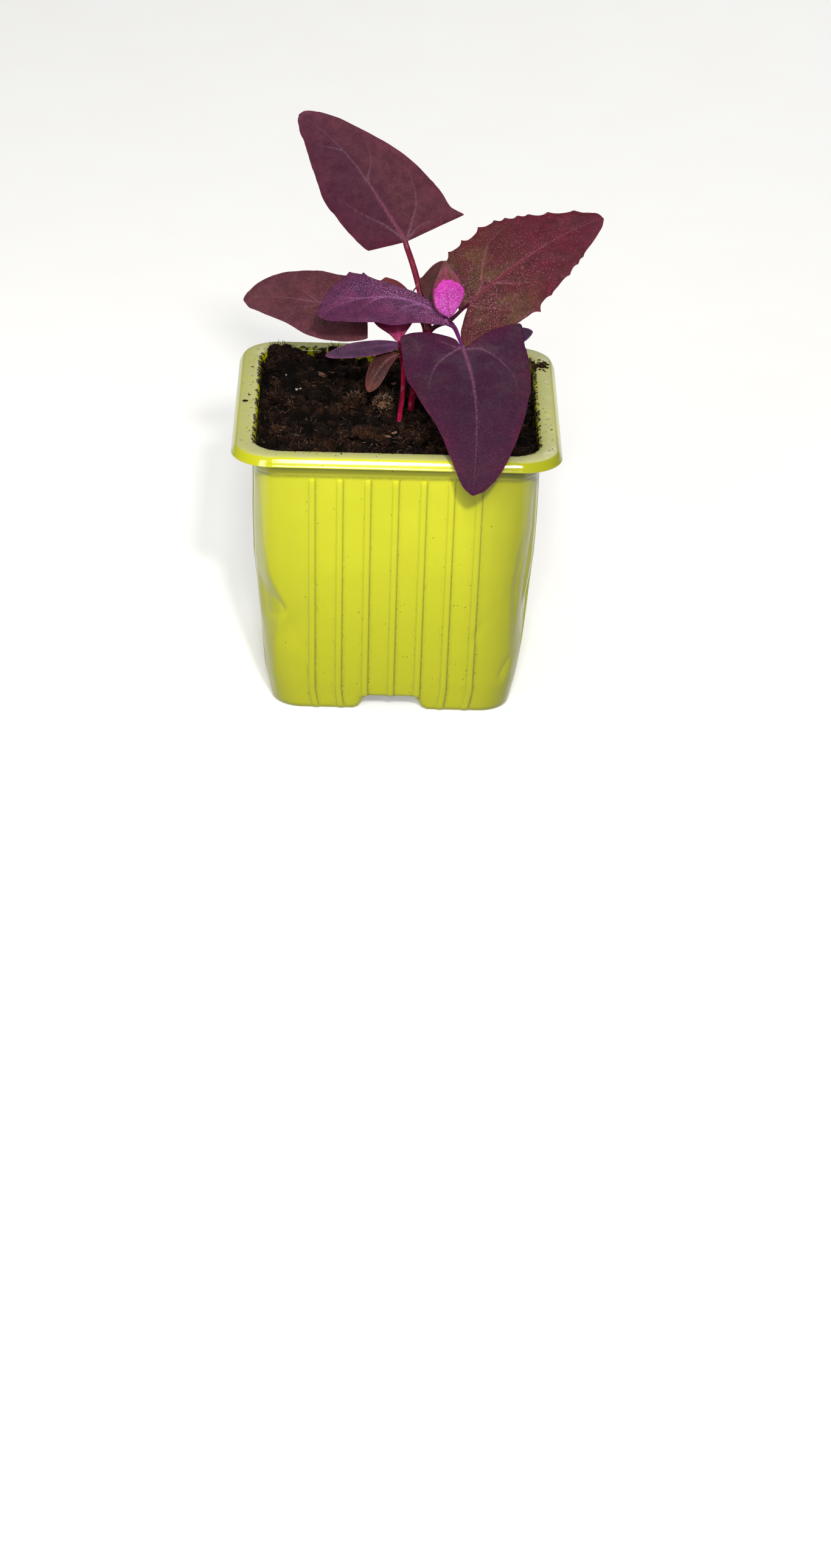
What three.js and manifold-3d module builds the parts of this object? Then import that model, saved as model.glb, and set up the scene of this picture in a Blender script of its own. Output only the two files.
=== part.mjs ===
// Potted red orache: two seedlings in a square thin-walled nursery pot.
// Millimetres, +Z up, origin under the middle of the pot on the surface it stands on, +Y to the back.
import * as THREE from 'three';
import Module from 'manifold-3d';

const wasm = await Module();
wasm.setup();

// Pot, from the base up
const POT_HEIGHT = 80;
const RIM_HALF = 45;
const RIM_CORNER = 11.4;
const COLLAR_INSET = 5.6;
const COLLAR_HALF = RIM_HALF - COLLAR_INSET;
const COLLAR_BOTTOM_Z = 72.8;
// Section from the collar's foot, out under the rolled rim and over to its flat top: inset from the
// rim's edge and height
const RIM_SECTION = [
  [COLLAR_INSET + 1.4, COLLAR_BOTTOM_Z - 1.2], [COLLAR_INSET, COLLAR_BOTTOM_Z], [COLLAR_INSET, 78.5],
  [1.5, 78.9], [0.9, 77.3], [0, 77.3], [0, 78.2], [0.8, 79.4], [2.8, POT_HEIGHT],
  [COLLAR_INSET + 3, POT_HEIGHT],
];
const WALL_CORNER = 8.5;
const CORNER_STEPS = 4;
const WALL_THICKNESS = 0.9;
const FLOOR_THICKNESS = 0.9;
// Half width of the wall at some heights: a slight bulge, then a curve in to the base
const WALL_PROFILE = [
  [0, 33], [3, 33.7], [9, 34.9], [18, 36.1], [30, 37.3], [44, 38.4], [56, 38.8], [72.3, 38.9],
];
// Raised ribs on each side of the wall
const RIB_COUNT = 7;
const RIB_PITCH = 7.65;
const RIB_WIDTH = 2;
const RIB_HEIGHT = 0.5;
const RIB_PITCH_AT_BASE = 0.95;
// Recess in the middle of each bottom edge, and the holes that let water out
const NOTCH_HEIGHT = 4;
const NOTCH_TOP_WIDTH = 13.5;
const NOTCH_BASE_WIDTH = 20;
const NOTCH_DEPTH = 9;
const DRAIN_PLACE = 17;
const DRAIN_RADIUS = 3.2;
const DRAIN_SIDES = 12;

// Soil
const GAP = 0.3;
const SOIL_LEVEL = 74.2;
const SOIL_STEP = 2.8;
const SOIL_GRAIN = 0.85;
// Heaps and lumps: place, radius and height
const SOIL_LUMPS = [
  { x: -26, y: 27, radius: 11, height: 4.2 },
  { x: -4, y: 31, radius: 12, height: 2.6 },
  { x: 24, y: 26, radius: 12, height: 2.2 },
  { x: -7.5, y: -4, radius: 4.6, height: 1.9 },
  { x: -13, y: -2.5, radius: 3.2, height: 1.2 },
  { x: -11, y: 13, radius: 3, height: 2.3 },
  { x: -3.5, y: 9, radius: 2.4, height: 2.2 },
  { x: -24, y: -10, radius: 5, height: 1.2 },
  { x: 13, y: 16, radius: 5, height: 1.4 },
  { x: 24, y: -6, radius: 6, height: 1.3 },
];

// Stems: points up the middle, radius at the foot and at the top
const TUBE_STEP = 3;
const TUBE_SIDES = 8;
const STEM_ROUGHNESS = 0.5;
const STEMS = {
  stem_main: {
    path: [[3.8, 9.2, 62], [4, 8.8, 74], [4.8, 8, 82], [7.3, 6.8, 93], [8.6, 5.8, 98], [11.2, 3, 101.2],
      [13.6, 1, 102.8], [14.4, 0, 105]],
    foot: 1.1,
    top: 0.8,
    colour: 0x9a1430,
  },
  stem_small: {
    path: [[0.6, -0.6, 64], [0.7, -0.9, 74], [1.5, -0.6, 82], [1.4, -0.2, 90], [0.3, 0, 96.2]],
    foot: 0.85,
    top: 0.65,
    colour: 0x7d1740,
  },
};

// Leaves. The midrib is one Bezier arch from the petiole to the tip. The two sides of the outline run from
// the corner of the base to the tip as [along the midrib, away from it]; face is the way the upper side
// looks; cup lifts the margins, wave ruffles them, and teeth are places along the outline from 0 to 1.
const BLADE_THICKNESS = 0.65;
const TOOTH_HEIGHT = 0.9;
const TOOTH_HALF_WIDTH = 0.045;
const ROW_CLEARANCE = 0.012;
const WAVE_SHIFT = 0.3;
const LEAF_ROUGHNESS = 0.55;
// A leaf wider than this from its midrib to its margin gets the finer grid of rows and columns
const WIDE_LEAF = 8;
const WIDE_GRID = { rowsPerStep: 2, columns: 8 };
const SLIM_GRID = { rowsPerStep: 1, columns: 4 };
const LEAVES = {
  leaf_top: {
    petiole: [[8.4, 6, 98.2], [7, 7.8, 103.4], [5.6, 9.8, 108.4], [3.4, 11.6, 115.5], [0.4, 13.3, 123.2]],
    radius: [0.85, 0.6],
    midrib: [[1.5, 13, 121.5], [-7.5, 13, 135], [-14.5, 9, 150.5], [-28.5, 7, 159]],
    face: [-0.1, -0.95, 0.3],
    minus: [[3.5, 10.5], [8.5, 11.6], [15, 12.7], [22, 12.9], [29, 11.5], [36, 9.1], [42.5, 6], [47.4, 3],
      [49.4, 0.4]],
    plus: [[-2.2, 17.8], [1.7, 15.7], [8.2, 15.4], [14.2, 14.5], [21, 12.9], [29, 9.6], [37.5, 6.2],
      [45.6, 3.2], [49.4, 0.4]],
    cup: 0,
    wave: [0.5, 2.2],
    colour: 0x552a40,
  },
  leaf_right: {
    petiole: [[14.2, 0.8, 102.2], [17, 3.6, 103.6], [18.6, 7, 105], [20.6, 8.9, 106.7]],
    radius: [0.8, 0.65],
    midrib: [[19, 8, 105.5], [30, 14, 113.5], [41.5, 21.5, 121.5], [56, 23, 126]],
    face: [-0.2, -0.75, 0.6],
    minus: [[2.5, 13], [6.3, 14.6], [11.4, 15], [16.9, 14.8], [22, 13.2], [28, 10.3], [34, 7.3], [40, 4.3],
      [44.4, 2.1], [45.6, 0.4]],
    plus: [[-8.5, 12.5], [-2, 14.2], [6, 13.5], [13, 14], [19.5, 13], [26, 11.5], [32.6, 9.1], [38.5, 6.5],
      [43.8, 3], [45.6, 0.4]],
    cup: 0,
    wave: [0.6, 2.6],
    teeth: {
      minus: [0.11, 0.22, 0.33, 0.42, 0.47, 0.525, 0.57, 0.65, 0.76],
      plus: [0.34, 0.48, 0.61, 0.7, 0.79],
    },
    colour: 0x4b2530,
  },
  leaf_front: {
    petiole: [[14.4, -0.4, 102.6], [16.6, -3.6, 102.7], [17.5, -7, 101.3], [17.9, -11.6, 98.7]],
    radius: [0.75, 0.65],
    midrib: [[17.5, -10, 99.5], [22, -24.5, 92.5], [21.5, -48, 93.5], [20.5, -53, 74]],
    face: [0.05, -0.45, 0.9],
    minus: [[-6.2, 19], [-0.3, 17.3], [6, 16.8], [13, 16.2], [21, 14.8], [30, 12.8], [38.5, 10.3],
      [46.5, 7.2], [51, 4], [52.9, 0.6]],
    plus: [[-7.6, 16], [-2, 16.8], [5, 17.7], [12, 17.6], [19, 16.4], [26, 14.4], [34, 10.7], [43, 6.8],
      [50.2, 3.6], [52.9, 0.6]],
    cup: 0,
    wave: [0.5, 2],
    colour: 0x4f2445,
  },
  leaf_left: {
    petiole: [[13.6, 0.5, 102.6], [11.3, 0.7, 104.5]],
    radius: [0.8, 0.7],
    midrib: [[13.5, 0, 103], [3, 4, 111.5], [-12.5, 1, 111], [-22.5, -5, 105.5]],
    face: [0, -0.45, 0.9],
    minus: [[-0.5, 0.9], [3, 3.9], [8, 6.8], [13.5, 9.2], [18.7, 10.2], [24, 9.7], [29.5, 8], [34.6, 5.4],
      [37.8, 3], [39, 0.6]],
    plus: [[-0.5, 0.9], [4, 2.2], [10.4, 3.5], [16.2, 4.6], [20.4, 6.2], [23.2, 8.6], [26.2, 9.8], [31, 7.4],
      [36.4, 3.2], [39, 0.6]],
    cup: 0,
    wave: [0.4, 2],
    teeth: { minus: [], plus: [0.555, 0.665] },
    colour: 0x5b2f63,
  },
  leaf_back_left: {
    petiole: [[7.5, 7.2, 95.6], [7.2, 9, 98], [5.2, 11, 101], [-1.5, 13.2, 103.3], [-10.6, 14.3, 102.6]],
    radius: [0.75, 0.6],
    midrib: [[-9, 14, 103], [-20.5, 16, 99.5], [-31.5, 23, 103], [-43.5, 22, 100]],
    face: [0, -0.7, 0.7],
    minus: [[0.4, 11], [5.6, 11.4], [10, 11.1], [15.4, 10], [21.3, 7.9], [27.5, 6], [32.4, 4], [35, 2.4],
      [36, 0.5]],
    plus: [[-0.2, 6.6], [4.5, 8.6], [10, 9.3], [16, 9.6], [21.5, 8.7], [26.4, 7.4], [31, 5.1], [34.4, 2.4],
      [36, 0.5]],
    cup: 0,
    wave: [0.3, 1.5],
    colour: 0x54303a,
  },
  leaf_young: {
    petiole: [[14.4, -0.2, 104.7], [14.1, -1.2, 105.2], [13.9, -1.9, 106.4]],
    radius: [0.55, 0.5],
    midrib: [[14, -1.5, 105], [13, -3, 110], [13, -4.5, 116.5], [12, -1, 121.5]],
    face: [0, -0.95, 0.3],
    minus: [[0.5, 0.9], [2.2, 2.7], [4.5, 4], [8, 4.3], [11.2, 3.6], [14.2, 2], [16.9, 0.4]],
    plus: [[0.5, 0.9], [3, 2.4], [5.8, 3.9], [8.8, 4.5], [11.8, 3.6], [14.6, 1.8], [16.9, 0.4]],
    cup: 0.7,
    wave: [0.2, 1.5],
    colour: 0xb02090,
  },
  leaf_young_back: {
    petiole: [[14.3, 0.4, 104.7], [13.4, 2.7, 105], [12.4, 3.5, 105.8]],
    radius: [0.55, 0.5],
    midrib: [[13.4, 2.8, 104.7], [10.8, 3.8, 107.2], [8.5, 6, 110], [6.1, 8.5, 112]],
    face: [0, -0.9, 0.4],
    minus: [[0.3, 0.7], [2, 1], [4.4, 1.7], [6.8, 2.4], [9, 2], [11, 1.2], [12.6, 0.5]],
    plus: [[0.3, 0.9], [2.4, 4.2], [5.5, 6.2], [9, 7.5], [12, 8], [13.2, 5], [12.6, 0.5]],
    cup: 0.8,
    wave: [0.2, 1.5],
    colour: 0x4a2a22,
  },
  leaf_inner: {
    petiole: [[0.3, -0.1, 95.4], [0, 0.5, 97], [-0.4, 1.8, 98.4]],
    radius: [0.6, 0.5],
    midrib: [[0, 0.5, 97], [-1, 4.5, 101.5], [-2, 9.5, 105.5], [-4, 13, 110.5]],
    face: [0, -0.85, 0.5],
    minus: [[0.3, 0.9], [2.4, 2.3], [5.5, 5.4], [9.5, 6.9], [14, 6.2], [17.6, 4], [19.2, 0.5]],
    plus: [[0.3, 0.9], [2.4, 2.5], [5, 4.7], [9, 6.3], [13, 5.7], [17, 3.4], [19.2, 0.5]],
    cup: 1,
    wave: [0.2, 1.5],
    colour: 0x7a0f3c,
  },
  cotyledon_upper: {
    petiole: [[1, -0.1, 93.6], [0.4, -0.7, 95.4], [-1.6, -1.5, 96.4]],
    radius: [0.55, 0.5],
    midrib: [[0, -1, 96.5], [-6.5, -2.5, 96.5], [-13, -6, 96.5], [-20, -7, 95]],
    face: [0, -0.5, 0.85],
    minus: [[0, 1], [3.6, 2.5], [8.3, 3.2], [14.2, 2.7], [18.2, 1.8], [20.2, 1], [21, 0.4]],
    plus: [[0, 1], [3.6, 1.8], [7.6, 2.3], [12.7, 2.4], [17.2, 1.8], [20, 1], [21, 0.4]],
    cup: 0.3,
    wave: [0.1, 1],
    colour: 0x4a3350,
  },
  cotyledon_lower: {
    petiole: [[1.3, -0.3, 92], [0.8, -1.4, 93.4], [-1.2, -2.8, 93.8]],
    radius: [0.55, 0.5],
    midrib: [[0, -2, 94], [-4.5, -4.5, 93.5], [-6.5, -7.5, 89.5], [-8, -9, 85.5]],
    face: [0, -0.6, 0.8],
    minus: [[0, 0.6], [2, 1.3], [5, 2.1], [8.4, 2.5], [11.4, 2.2], [13.4, 1.2], [14.2, 0.4]],
    plus: [[0, 0.6], [2, 2.2], [4.6, 3.5], [7.8, 3.1], [11.2, 2.2], [13.4, 1.2], [14.2, 0.4]],
    cup: -0.3,
    wave: [0.1, 1],
    colour: 0x5a3a38,
  },
  cotyledon_side: {
    petiole: [[5.9, 7.4, 87], [8, 5.8, 87.2], [11.6, 3.4, 87.8]],
    radius: [0.6, 0.5],
    midrib: [[10, 4, 87.5], [19.5, 1, 89], [27.5, 1.5, 94.6], [35.4, 2, 99.3]],
    face: [0, -0.5, 0.85],
    minus: [[1, 0.8], [6, 1.6], [14, 2.6], [21.5, 3], [27.2, 2.9], [29.3, 1.7], [30.2, 0.4]],
    plus: [[1, 0.8], [6, 1.6], [14, 2.4], [21.5, 2.3], [27.2, 1.8], [29.3, 1.1], [30.2, 0.4]],
    cup: 0.3,
    wave: [0.1, 1],
    colour: 0x3d2440,
  },
};

// Vectors and small sums
const vector = (point) => new THREE.Vector3(...point);
const mix = (a, b, t) => a + (b - a) * t;
const clamp01 = (t) => Math.min(1, Math.max(0, t));

// A number from 0 to 1 that looks random, but is always the same for a place
function grain(x, y) {
  const wave = 43758.5 * Math.sin(12.9 * Math.round(x * 10) + 78.2 * Math.round(y * 10));
  return wave - Math.floor(wave);
}

// Closed body from vertices and triangles
function solidOf(vertices, triangles) {
  const mesh = new wasm.Mesh({
    numProp: 3,
    vertProperties: new Float32Array(vertices.flat()),
    triVerts: new Uint32Array(triangles.flat()),
  });
  return new wasm.Manifold(mesh);
}

// Body between rings of equal length, each closed over its middle at the two ends
function loft(rings) {
  const count = rings[0].length;
  const vertices = rings.flat();
  const triangles = [];
  for (let k = 0; k + 1 < rings.length; k++) {
    for (let i = 0; i < count; i++) {
      const a = k * count + i;
      const b = k * count + (i + 1) % count;
      triangles.push([a, b, b + count], [a, b + count, a + count]);
    }
  }
  closeEnd(vertices, triangles, 0, count, true);
  closeEnd(vertices, triangles, (rings.length - 1) * count, count, false);
  return solidOf(vertices, triangles);
}

function closeEnd(vertices, triangles, start, count, facesDown) {
  const middle = [0, 1, 2].map((axis) => {
    let sum = 0;
    for (let i = 0; i < count; i++) sum += vertices[start + i][axis];
    return sum / count;
  });
  const centre = vertices.push(middle) - 1;
  for (let i = 0; i < count; i++) {
    const a = start + i;
    const b = start + (i + 1) % count;
    triangles.push(facesDown ? [centre, b, a] : [centre, a, b]);
  }
}

// Numbers of the vertices round a grid of rows and columns of cells
function gridBorder(rows, columns) {
  const width = columns + 1;
  const border = [];
  for (let c = 0; c < columns; c++) border.push(c);
  for (let r = 0; r < rows; r++) border.push(r * width + columns);
  for (let c = columns; c > 0; c--) border.push(rows * width + c);
  for (let r = rows; r > 0; r--) border.push(r * width);
  return border;
}

// Square with round corners and, where asked, ribs along its four sides
function squareRing(half, corner, z, rib = null) {
  const points = [];
  for (let side = 0; side < 4; side++) {
    const turn = side * Math.PI / 2;
    const place = (along, out) => [
      along * Math.cos(turn) - out * Math.sin(turn),
      along * Math.sin(turn) + out * Math.cos(turn),
      z,
    ];
    for (let i = RIB_COUNT - 1; rib && i >= 0; i--) {
      const middle = (i - (RIB_COUNT - 1) / 2) * rib.pitch;
      points.push(
        place(middle + RIB_WIDTH * 0.5, half),
        place(middle + RIB_WIDTH * 0.25, half + rib.height),
        place(middle - RIB_WIDTH * 0.25, half + rib.height),
        place(middle - RIB_WIDTH * 0.5, half),
      );
    }
    const inset = half - corner;
    for (let i = 0; i <= CORNER_STEPS; i++) {
      const angle = Math.PI / 2 * i / CORNER_STEPS;
      points.push(place(-inset - corner * Math.sin(angle), inset + corner * Math.cos(angle)));
    }
  }
  return points;
}

function wallHalf(z) {
  const next = WALL_PROFILE.findIndex(([height]) => height >= z);
  const [z1, half1] = WALL_PROFILE[Math.max(1, next)];
  const [z0, half0] = WALL_PROFILE[Math.max(1, next) - 1];
  return mix(half0, half1, (z - z0) / (z1 - z0));
}

// Recess under the middle of each side, grown outwards for the wall that follows it
function notches(grow) {
  const reach = wallHalf(0) - NOTCH_DEPTH - grow;
  const below = -1;
  const section = new THREE.Shape();
  section.moveTo(-NOTCH_BASE_WIDTH / 2 - grow, below);
  section.lineTo(-NOTCH_BASE_WIDTH / 2 - grow, 0);
  section.lineTo(-NOTCH_TOP_WIDTH / 2 - grow, NOTCH_HEIGHT + grow);
  section.lineTo(NOTCH_TOP_WIDTH / 2 + grow, NOTCH_HEIGHT + grow);
  section.lineTo(NOTCH_BASE_WIDTH / 2 + grow, 0);
  section.lineTo(NOTCH_BASE_WIDTH / 2 + grow, below);
  const shape = new THREE.ExtrudeGeometry(section, { depth: 2 * NOTCH_DEPTH, bevelEnabled: false });
  shape.rotateX(Math.PI / 2);
  shape.translate(0, -reach, 0);
  const one = fromGeometry(shape);
  return [0, 90, 180, 270].map((angle) => one.rotate([0, 0, angle])).reduce((all, next) => all.add(next));
}

// Body of a three.js geometry, with its shared corners merged
function fromGeometry(geometry) {
  const position = geometry.getAttribute('position');
  const index = geometry.index ? Array.from(geometry.index.array) : [...Array(position.count).keys()];
  const places = new Map();
  const vertices = [];
  const cornerOf = index.map((i) => {
    const point = [position.getX(i), position.getY(i), position.getZ(i)].map((c) => Number(c.toFixed(4)));
    const key = point.join();
    if (!places.has(key)) places.set(key, vertices.push(point) - 1);
    return places.get(key);
  });
  const triangles = [];
  for (let i = 0; i < cornerOf.length; i += 3) {
    const [a, b, c] = cornerOf.slice(i, i + 3);
    if (a !== b && b !== c && c !== a) triangles.push([a, b, c]);
  }
  return solidOf(vertices, triangles);
}

function potOuter() {
  const wall = WALL_PROFILE.map(([z, half]) => {
    const pitch = RIB_PITCH * mix(RIB_PITCH_AT_BASE, 1, z / POT_HEIGHT);
    return squareRing(half, WALL_CORNER, z, { pitch, height: RIB_HEIGHT });
  });
  const rim = RIM_SECTION.map(([inset, z]) => {
    const corner = mix(RIM_CORNER, WALL_CORNER, inset / COLLAR_INSET);
    return squareRing(RIM_HALF - inset, corner, z);
  });
  return loft(wall).add(loft(rim));
}

// Hollow of the pot, or the soil's sides at a clearance inside the wall
function potHollow(clearance, top) {
  const inset = WALL_THICKNESS + clearance;
  const corner = WALL_CORNER - inset;
  const floor = FLOOR_THICKNESS + clearance;
  const higher = WALL_PROFILE.filter(([z]) => z > NOTCH_HEIGHT);
  const rings = higher.map(([z, half]) => squareRing(half - inset, corner, z));
  return loft([
    squareRing(wallHalf(floor) - inset, corner, floor),
    ...rings,
    squareRing(COLLAR_HALF - inset, corner, COLLAR_BOTTOM_Z + inset),
    squareRing(COLLAR_HALF - inset, corner, top),
  ]);
}

function makePot() {
  const hole = new THREE.CylinderGeometry(DRAIN_RADIUS, DRAIN_RADIUS, 4 * FLOOR_THICKNESS, DRAIN_SIDES);
  hole.rotateX(Math.PI / 2);
  const drain = fromGeometry(hole);
  let pot = potOuter().subtract(notches(0));
  pot = pot.subtract(potHollow(0, POT_HEIGHT + 1).subtract(notches(WALL_THICKNESS)));
  for (const [x, y] of [[1, 1], [-1, 1], [-1, -1], [1, -1]]) {
    pot = pot.subtract(drain.translate([x * DRAIN_PLACE, y * DRAIN_PLACE, 0]));
  }
  return pot;
}

// Height of the soil over a place, with heaps, lumps and coarse grain
function soilHeight(x, y) {
  let z = SOIL_LEVEL;
  for (const lump of SOIL_LUMPS) {
    const far = Math.hypot(x - lump.x, y - lump.y) / lump.radius;
    z += lump.height * Math.exp(-far * far);
  }
  return z + SOIL_GRAIN * (2 * grain(x, y) - 1);
}

// Block of ground with a bumpy top, wider than the pot
function makeGround() {
  const cells = Math.ceil(2 * COLLAR_HALF / SOIL_STEP);
  const width = cells + 1;
  const place = (i) => (i / cells - 0.5) * cells * SOIL_STEP;
  const vertices = [];
  for (let row = 0; row < width; row++) {
    for (let column = 0; column < width; column++) {
      vertices.push([place(column), place(row), soilHeight(place(column), place(row))]);
    }
  }
  const triangles = [];
  for (let row = 0; row < cells; row++) {
    for (let column = 0; column < cells; column++) {
      const a = row * width + column;
      triangles.push([a, a + 1, a + width + 1], [a, a + width + 1, a + width]);
    }
  }
  const border = gridBorder(cells, cells);
  const bottom = border.map((i) => vertices.push([vertices[i][0], vertices[i][1], 0]) - 1);
  const centre = vertices.push([0, 0, 0]) - 1;
  border.forEach((a, i) => {
    const next = (i + 1) % border.length;
    triangles.push([border[next], a, bottom[i]], [border[next], bottom[i], bottom[next]]);
    triangles.push([centre, bottom[next], bottom[i]]);
  });
  return solidOf(vertices, triangles);
}

function makeSoil() {
  const sides = potHollow(GAP, POT_HEIGHT + 2);
  let soil = sides.intersect(makeGround()).subtract(notches(WALL_THICKNESS + GAP));
  for (const stem of Object.values(STEMS)) soil = soil.subtract(makeStem(stem, GAP));
  return largest(soil);
}

// Round rod along a path, tapering evenly from its start to its end
function tube(path, startRadius, endRadius) {
  const curve = new THREE.CatmullRomCurve3(path.map(vector));
  const steps = Math.max(2, Math.round(curve.getLength() / TUBE_STEP));
  const frames = curve.computeFrenetFrames(steps);
  const rings = [];
  for (let k = 0; k <= steps; k++) {
    const middle = curve.getPointAt(k / steps);
    const radius = mix(startRadius, endRadius, k / steps);
    rings.push([...Array(TUBE_SIDES).keys()].map((i) => {
      const angle = 2 * Math.PI * i / TUBE_SIDES;
      const out = frames.normals[k].clone().multiplyScalar(Math.cos(angle));
      out.addScaledVector(frames.binormals[k], Math.sin(angle));
      return middle.clone().addScaledVector(out, radius).toArray();
    }));
  }
  return loft(rings);
}

// Stem, or with a clearance the room that it takes in its neighbours
function makeStem(stem, clearance = 0) {
  return tube(stem.path, stem.foot + clearance, stem.top + clearance);
}

// Outline point at t from 0 to 1 along one side's points, on a Catmull-Rom curve
function outlineAt(points, t) {
  const last = points.length - 1;
  const k = Math.min(last - 1, Math.floor(t * last));
  const f = t * last - k;
  const at = (i) => points[Math.min(last, Math.max(0, i))];
  return [0, 1].map((axis) => {
    const [a, b, c, d] = [at(k - 1)[axis], at(k)[axis], at(k + 1)[axis], at(k + 2)[axis]];
    const m0 = (c - a) / 2;
    const m1 = (d - b) / 2;
    return b + m0 * f + (3 * (c - b) - 2 * m0 - m1) * f * f + (2 * (b - c) + m0 + m1) * f * f * f;
  });
}

// Outline with its teeth: each is a small cusp that stands out from the margin
function marginAt(leaf, side, t) {
  const [along, away] = outlineAt(leaf[side], t);
  const cusps = (leaf.teeth?.[side] ?? []).map((place) => {
    const near = Math.max(0, 1 - Math.abs(t - place) / TOOTH_HALF_WIDTH);
    return TOOTH_HEIGHT * near * near;
  });
  return [along, away + Math.max(0, ...cusps)];
}

// Leaf with its midrib as a curve, that curve's length and the greatest width to one side of it
function measured(leaf) {
  const curve = new THREE.CubicBezierCurve3(...leaf.midrib.map(vector));
  const half = Math.max(...[...leaf.minus, ...leaf.plus].map(([, away]) => away));
  return { ...leaf, curve, length: curve.getLength(), half };
}

// Point of a leaf's middle surface, and its normal, from the place along and away from the midrib
function leafPlace(leaf, along, away) {
  const { curve } = leaf;
  const t = along / leaf.length;
  const inside = clamp01(t);
  const tangent = curve.getTangent(inside);
  const side = new THREE.Vector3().crossVectors(tangent, vector(leaf.face)).normalize();
  const normal = new THREE.Vector3().crossVectors(side, tangent).normalize();
  const middle = curve.getPoint(inside);
  if (t < 0) middle.addScaledVector(tangent, along);
  if (t > 1) middle.addScaledVector(tangent, along - leaf.length);
  const far = Math.abs(away) / leaf.half;
  const [waveHeight, waveCount] = leaf.wave;
  const turns = waveCount * t + (away > 0 ? WAVE_SHIFT : 0);
  const ripple = waveHeight * far ** 2 * Math.sin(2 * Math.PI * turns);
  middle.addScaledVector(side, away).addScaledVector(normal, leaf.cup * far ** 2 + ripple);
  return { middle, normal };
}

// Rows of a blade: evenly spaced, and one at each tooth
function rowPlaces(leaf, rowsPerStep) {
  const count = rowsPerStep * (leaf.minus.length - 1);
  const teeth = [...(leaf.teeth?.minus ?? []), ...(leaf.teeth?.plus ?? [])];
  const even = [...Array(count + 1).keys()].map((row) => row / count);
  const isClear = (t) => teeth.every((place) => Math.abs(t - place) > ROW_CLEARANCE);
  const clear = even.filter((t) => t === 0 || t === 1 || isClear(t));
  return [...clear, ...teeth].sort((a, b) => a - b);
}

// Blade: rows from base to tip, columns from margin to margin, a face above and one below
function makeBlade(leaf, { rowsPerStep, columns }) {
  const places = rowPlaces(leaf, rowsPerStep);
  const rows = places.length - 1;
  const width = columns + 1;
  const levels = (rows + 1) * width;
  const grid = places.flatMap((t) => {
    const edges = { minus: marginAt(leaf, 'minus', t), plus: marginAt(leaf, 'plus', t) };
    return [...Array(width).keys()].map((c) => {
      const s = 2 * c / columns - 1;
      const [along, away] = s < 0 ? edges.minus : edges.plus;
      return leafPlace(leaf, mix(t * leaf.length, along, Math.abs(s)), s * away);
    });
  });
  const vertices = [0.5, -0.5].flatMap((lift) => grid.map(({ middle, normal }) => (
    middle.clone().addScaledVector(normal, lift * BLADE_THICKNESS).toArray()
  )));
  const triangles = [];
  for (let r = 0; r < rows; r++) {
    for (let c = 0; c < columns; c++) {
      const a = r * width + c;
      const corners = c < columns / 2
        ? [[a, a + 1, a + width], [a + 1, a + width + 1, a + width]]
        : [[a, a + 1, a + width + 1], [a, a + width + 1, a + width]];
      for (const [i, j, k] of corners) {
        triangles.push([i, j, k], [i + levels, k + levels, j + levels]);
      }
    }
  }
  const border = gridBorder(rows, columns);
  border.forEach((a, i) => {
    const b = border[(i + 1) % border.length];
    triangles.push([b, a, a + levels], [b, a + levels, b + levels]);
  });
  return solidOf(vertices, triangles);
}

function makeLeaf(drawn) {
  const leaf = measured(drawn);
  const blade = makeBlade(leaf, leaf.half > WIDE_LEAF ? WIDE_GRID : SLIM_GRID);
  return blade.add(tube(leaf.petiole, ...leaf.radius));
}

// Largest separate piece of a body
function largest(body) {
  const pieces = body.decompose();
  return pieces.reduce((best, piece) => (piece.volume() > best.volume() ? piece : best));
}

// Named mesh of a body
const object = new THREE.Group();
function add(name, body, colour, roughness) {
  const { vertProperties, triVerts } = body.getMesh();
  const geometry = new THREE.BufferGeometry();
  geometry.setAttribute('position', new THREE.BufferAttribute(vertProperties, 3));
  geometry.setIndex(new THREE.BufferAttribute(triVerts, 1));
  const material = new THREE.MeshStandardMaterial({ color: colour, roughness, metalness: 0 });
  const mesh = new THREE.Mesh(geometry, material);
  mesh.name = name;
  object.add(mesh);
}

add('pot', makePot(), 0xdfe03a, 0.35);
add('soil', makeSoil(), 0x241a14, 0.95);
for (const [name, stem] of Object.entries(STEMS)) {
  add(name, makeStem(stem), stem.colour, STEM_ROUGHNESS);
}
for (const [name, leaf] of Object.entries(LEAVES)) {
  let body = makeLeaf(leaf);
  for (const stem of Object.values(STEMS)) body = body.subtract(makeStem(stem, GAP));
  add(name, largest(body), leaf.colour, LEAF_ROUGHNESS);
}

export default object;
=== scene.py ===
import math

import bpy
import numpy as np
from mathutils import Matrix, Vector


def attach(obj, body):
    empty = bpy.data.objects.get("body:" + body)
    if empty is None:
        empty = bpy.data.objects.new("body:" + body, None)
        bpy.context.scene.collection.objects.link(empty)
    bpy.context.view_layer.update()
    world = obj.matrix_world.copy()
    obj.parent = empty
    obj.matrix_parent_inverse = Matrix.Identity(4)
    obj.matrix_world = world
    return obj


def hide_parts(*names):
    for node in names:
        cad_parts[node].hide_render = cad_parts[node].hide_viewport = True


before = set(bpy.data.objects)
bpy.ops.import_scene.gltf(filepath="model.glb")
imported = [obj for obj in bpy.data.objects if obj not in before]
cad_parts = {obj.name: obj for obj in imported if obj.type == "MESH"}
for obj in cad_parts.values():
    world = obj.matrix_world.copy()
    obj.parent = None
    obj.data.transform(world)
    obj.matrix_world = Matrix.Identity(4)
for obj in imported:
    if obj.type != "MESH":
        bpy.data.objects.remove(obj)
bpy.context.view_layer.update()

MM = 0.001
BODY = "root"

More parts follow.
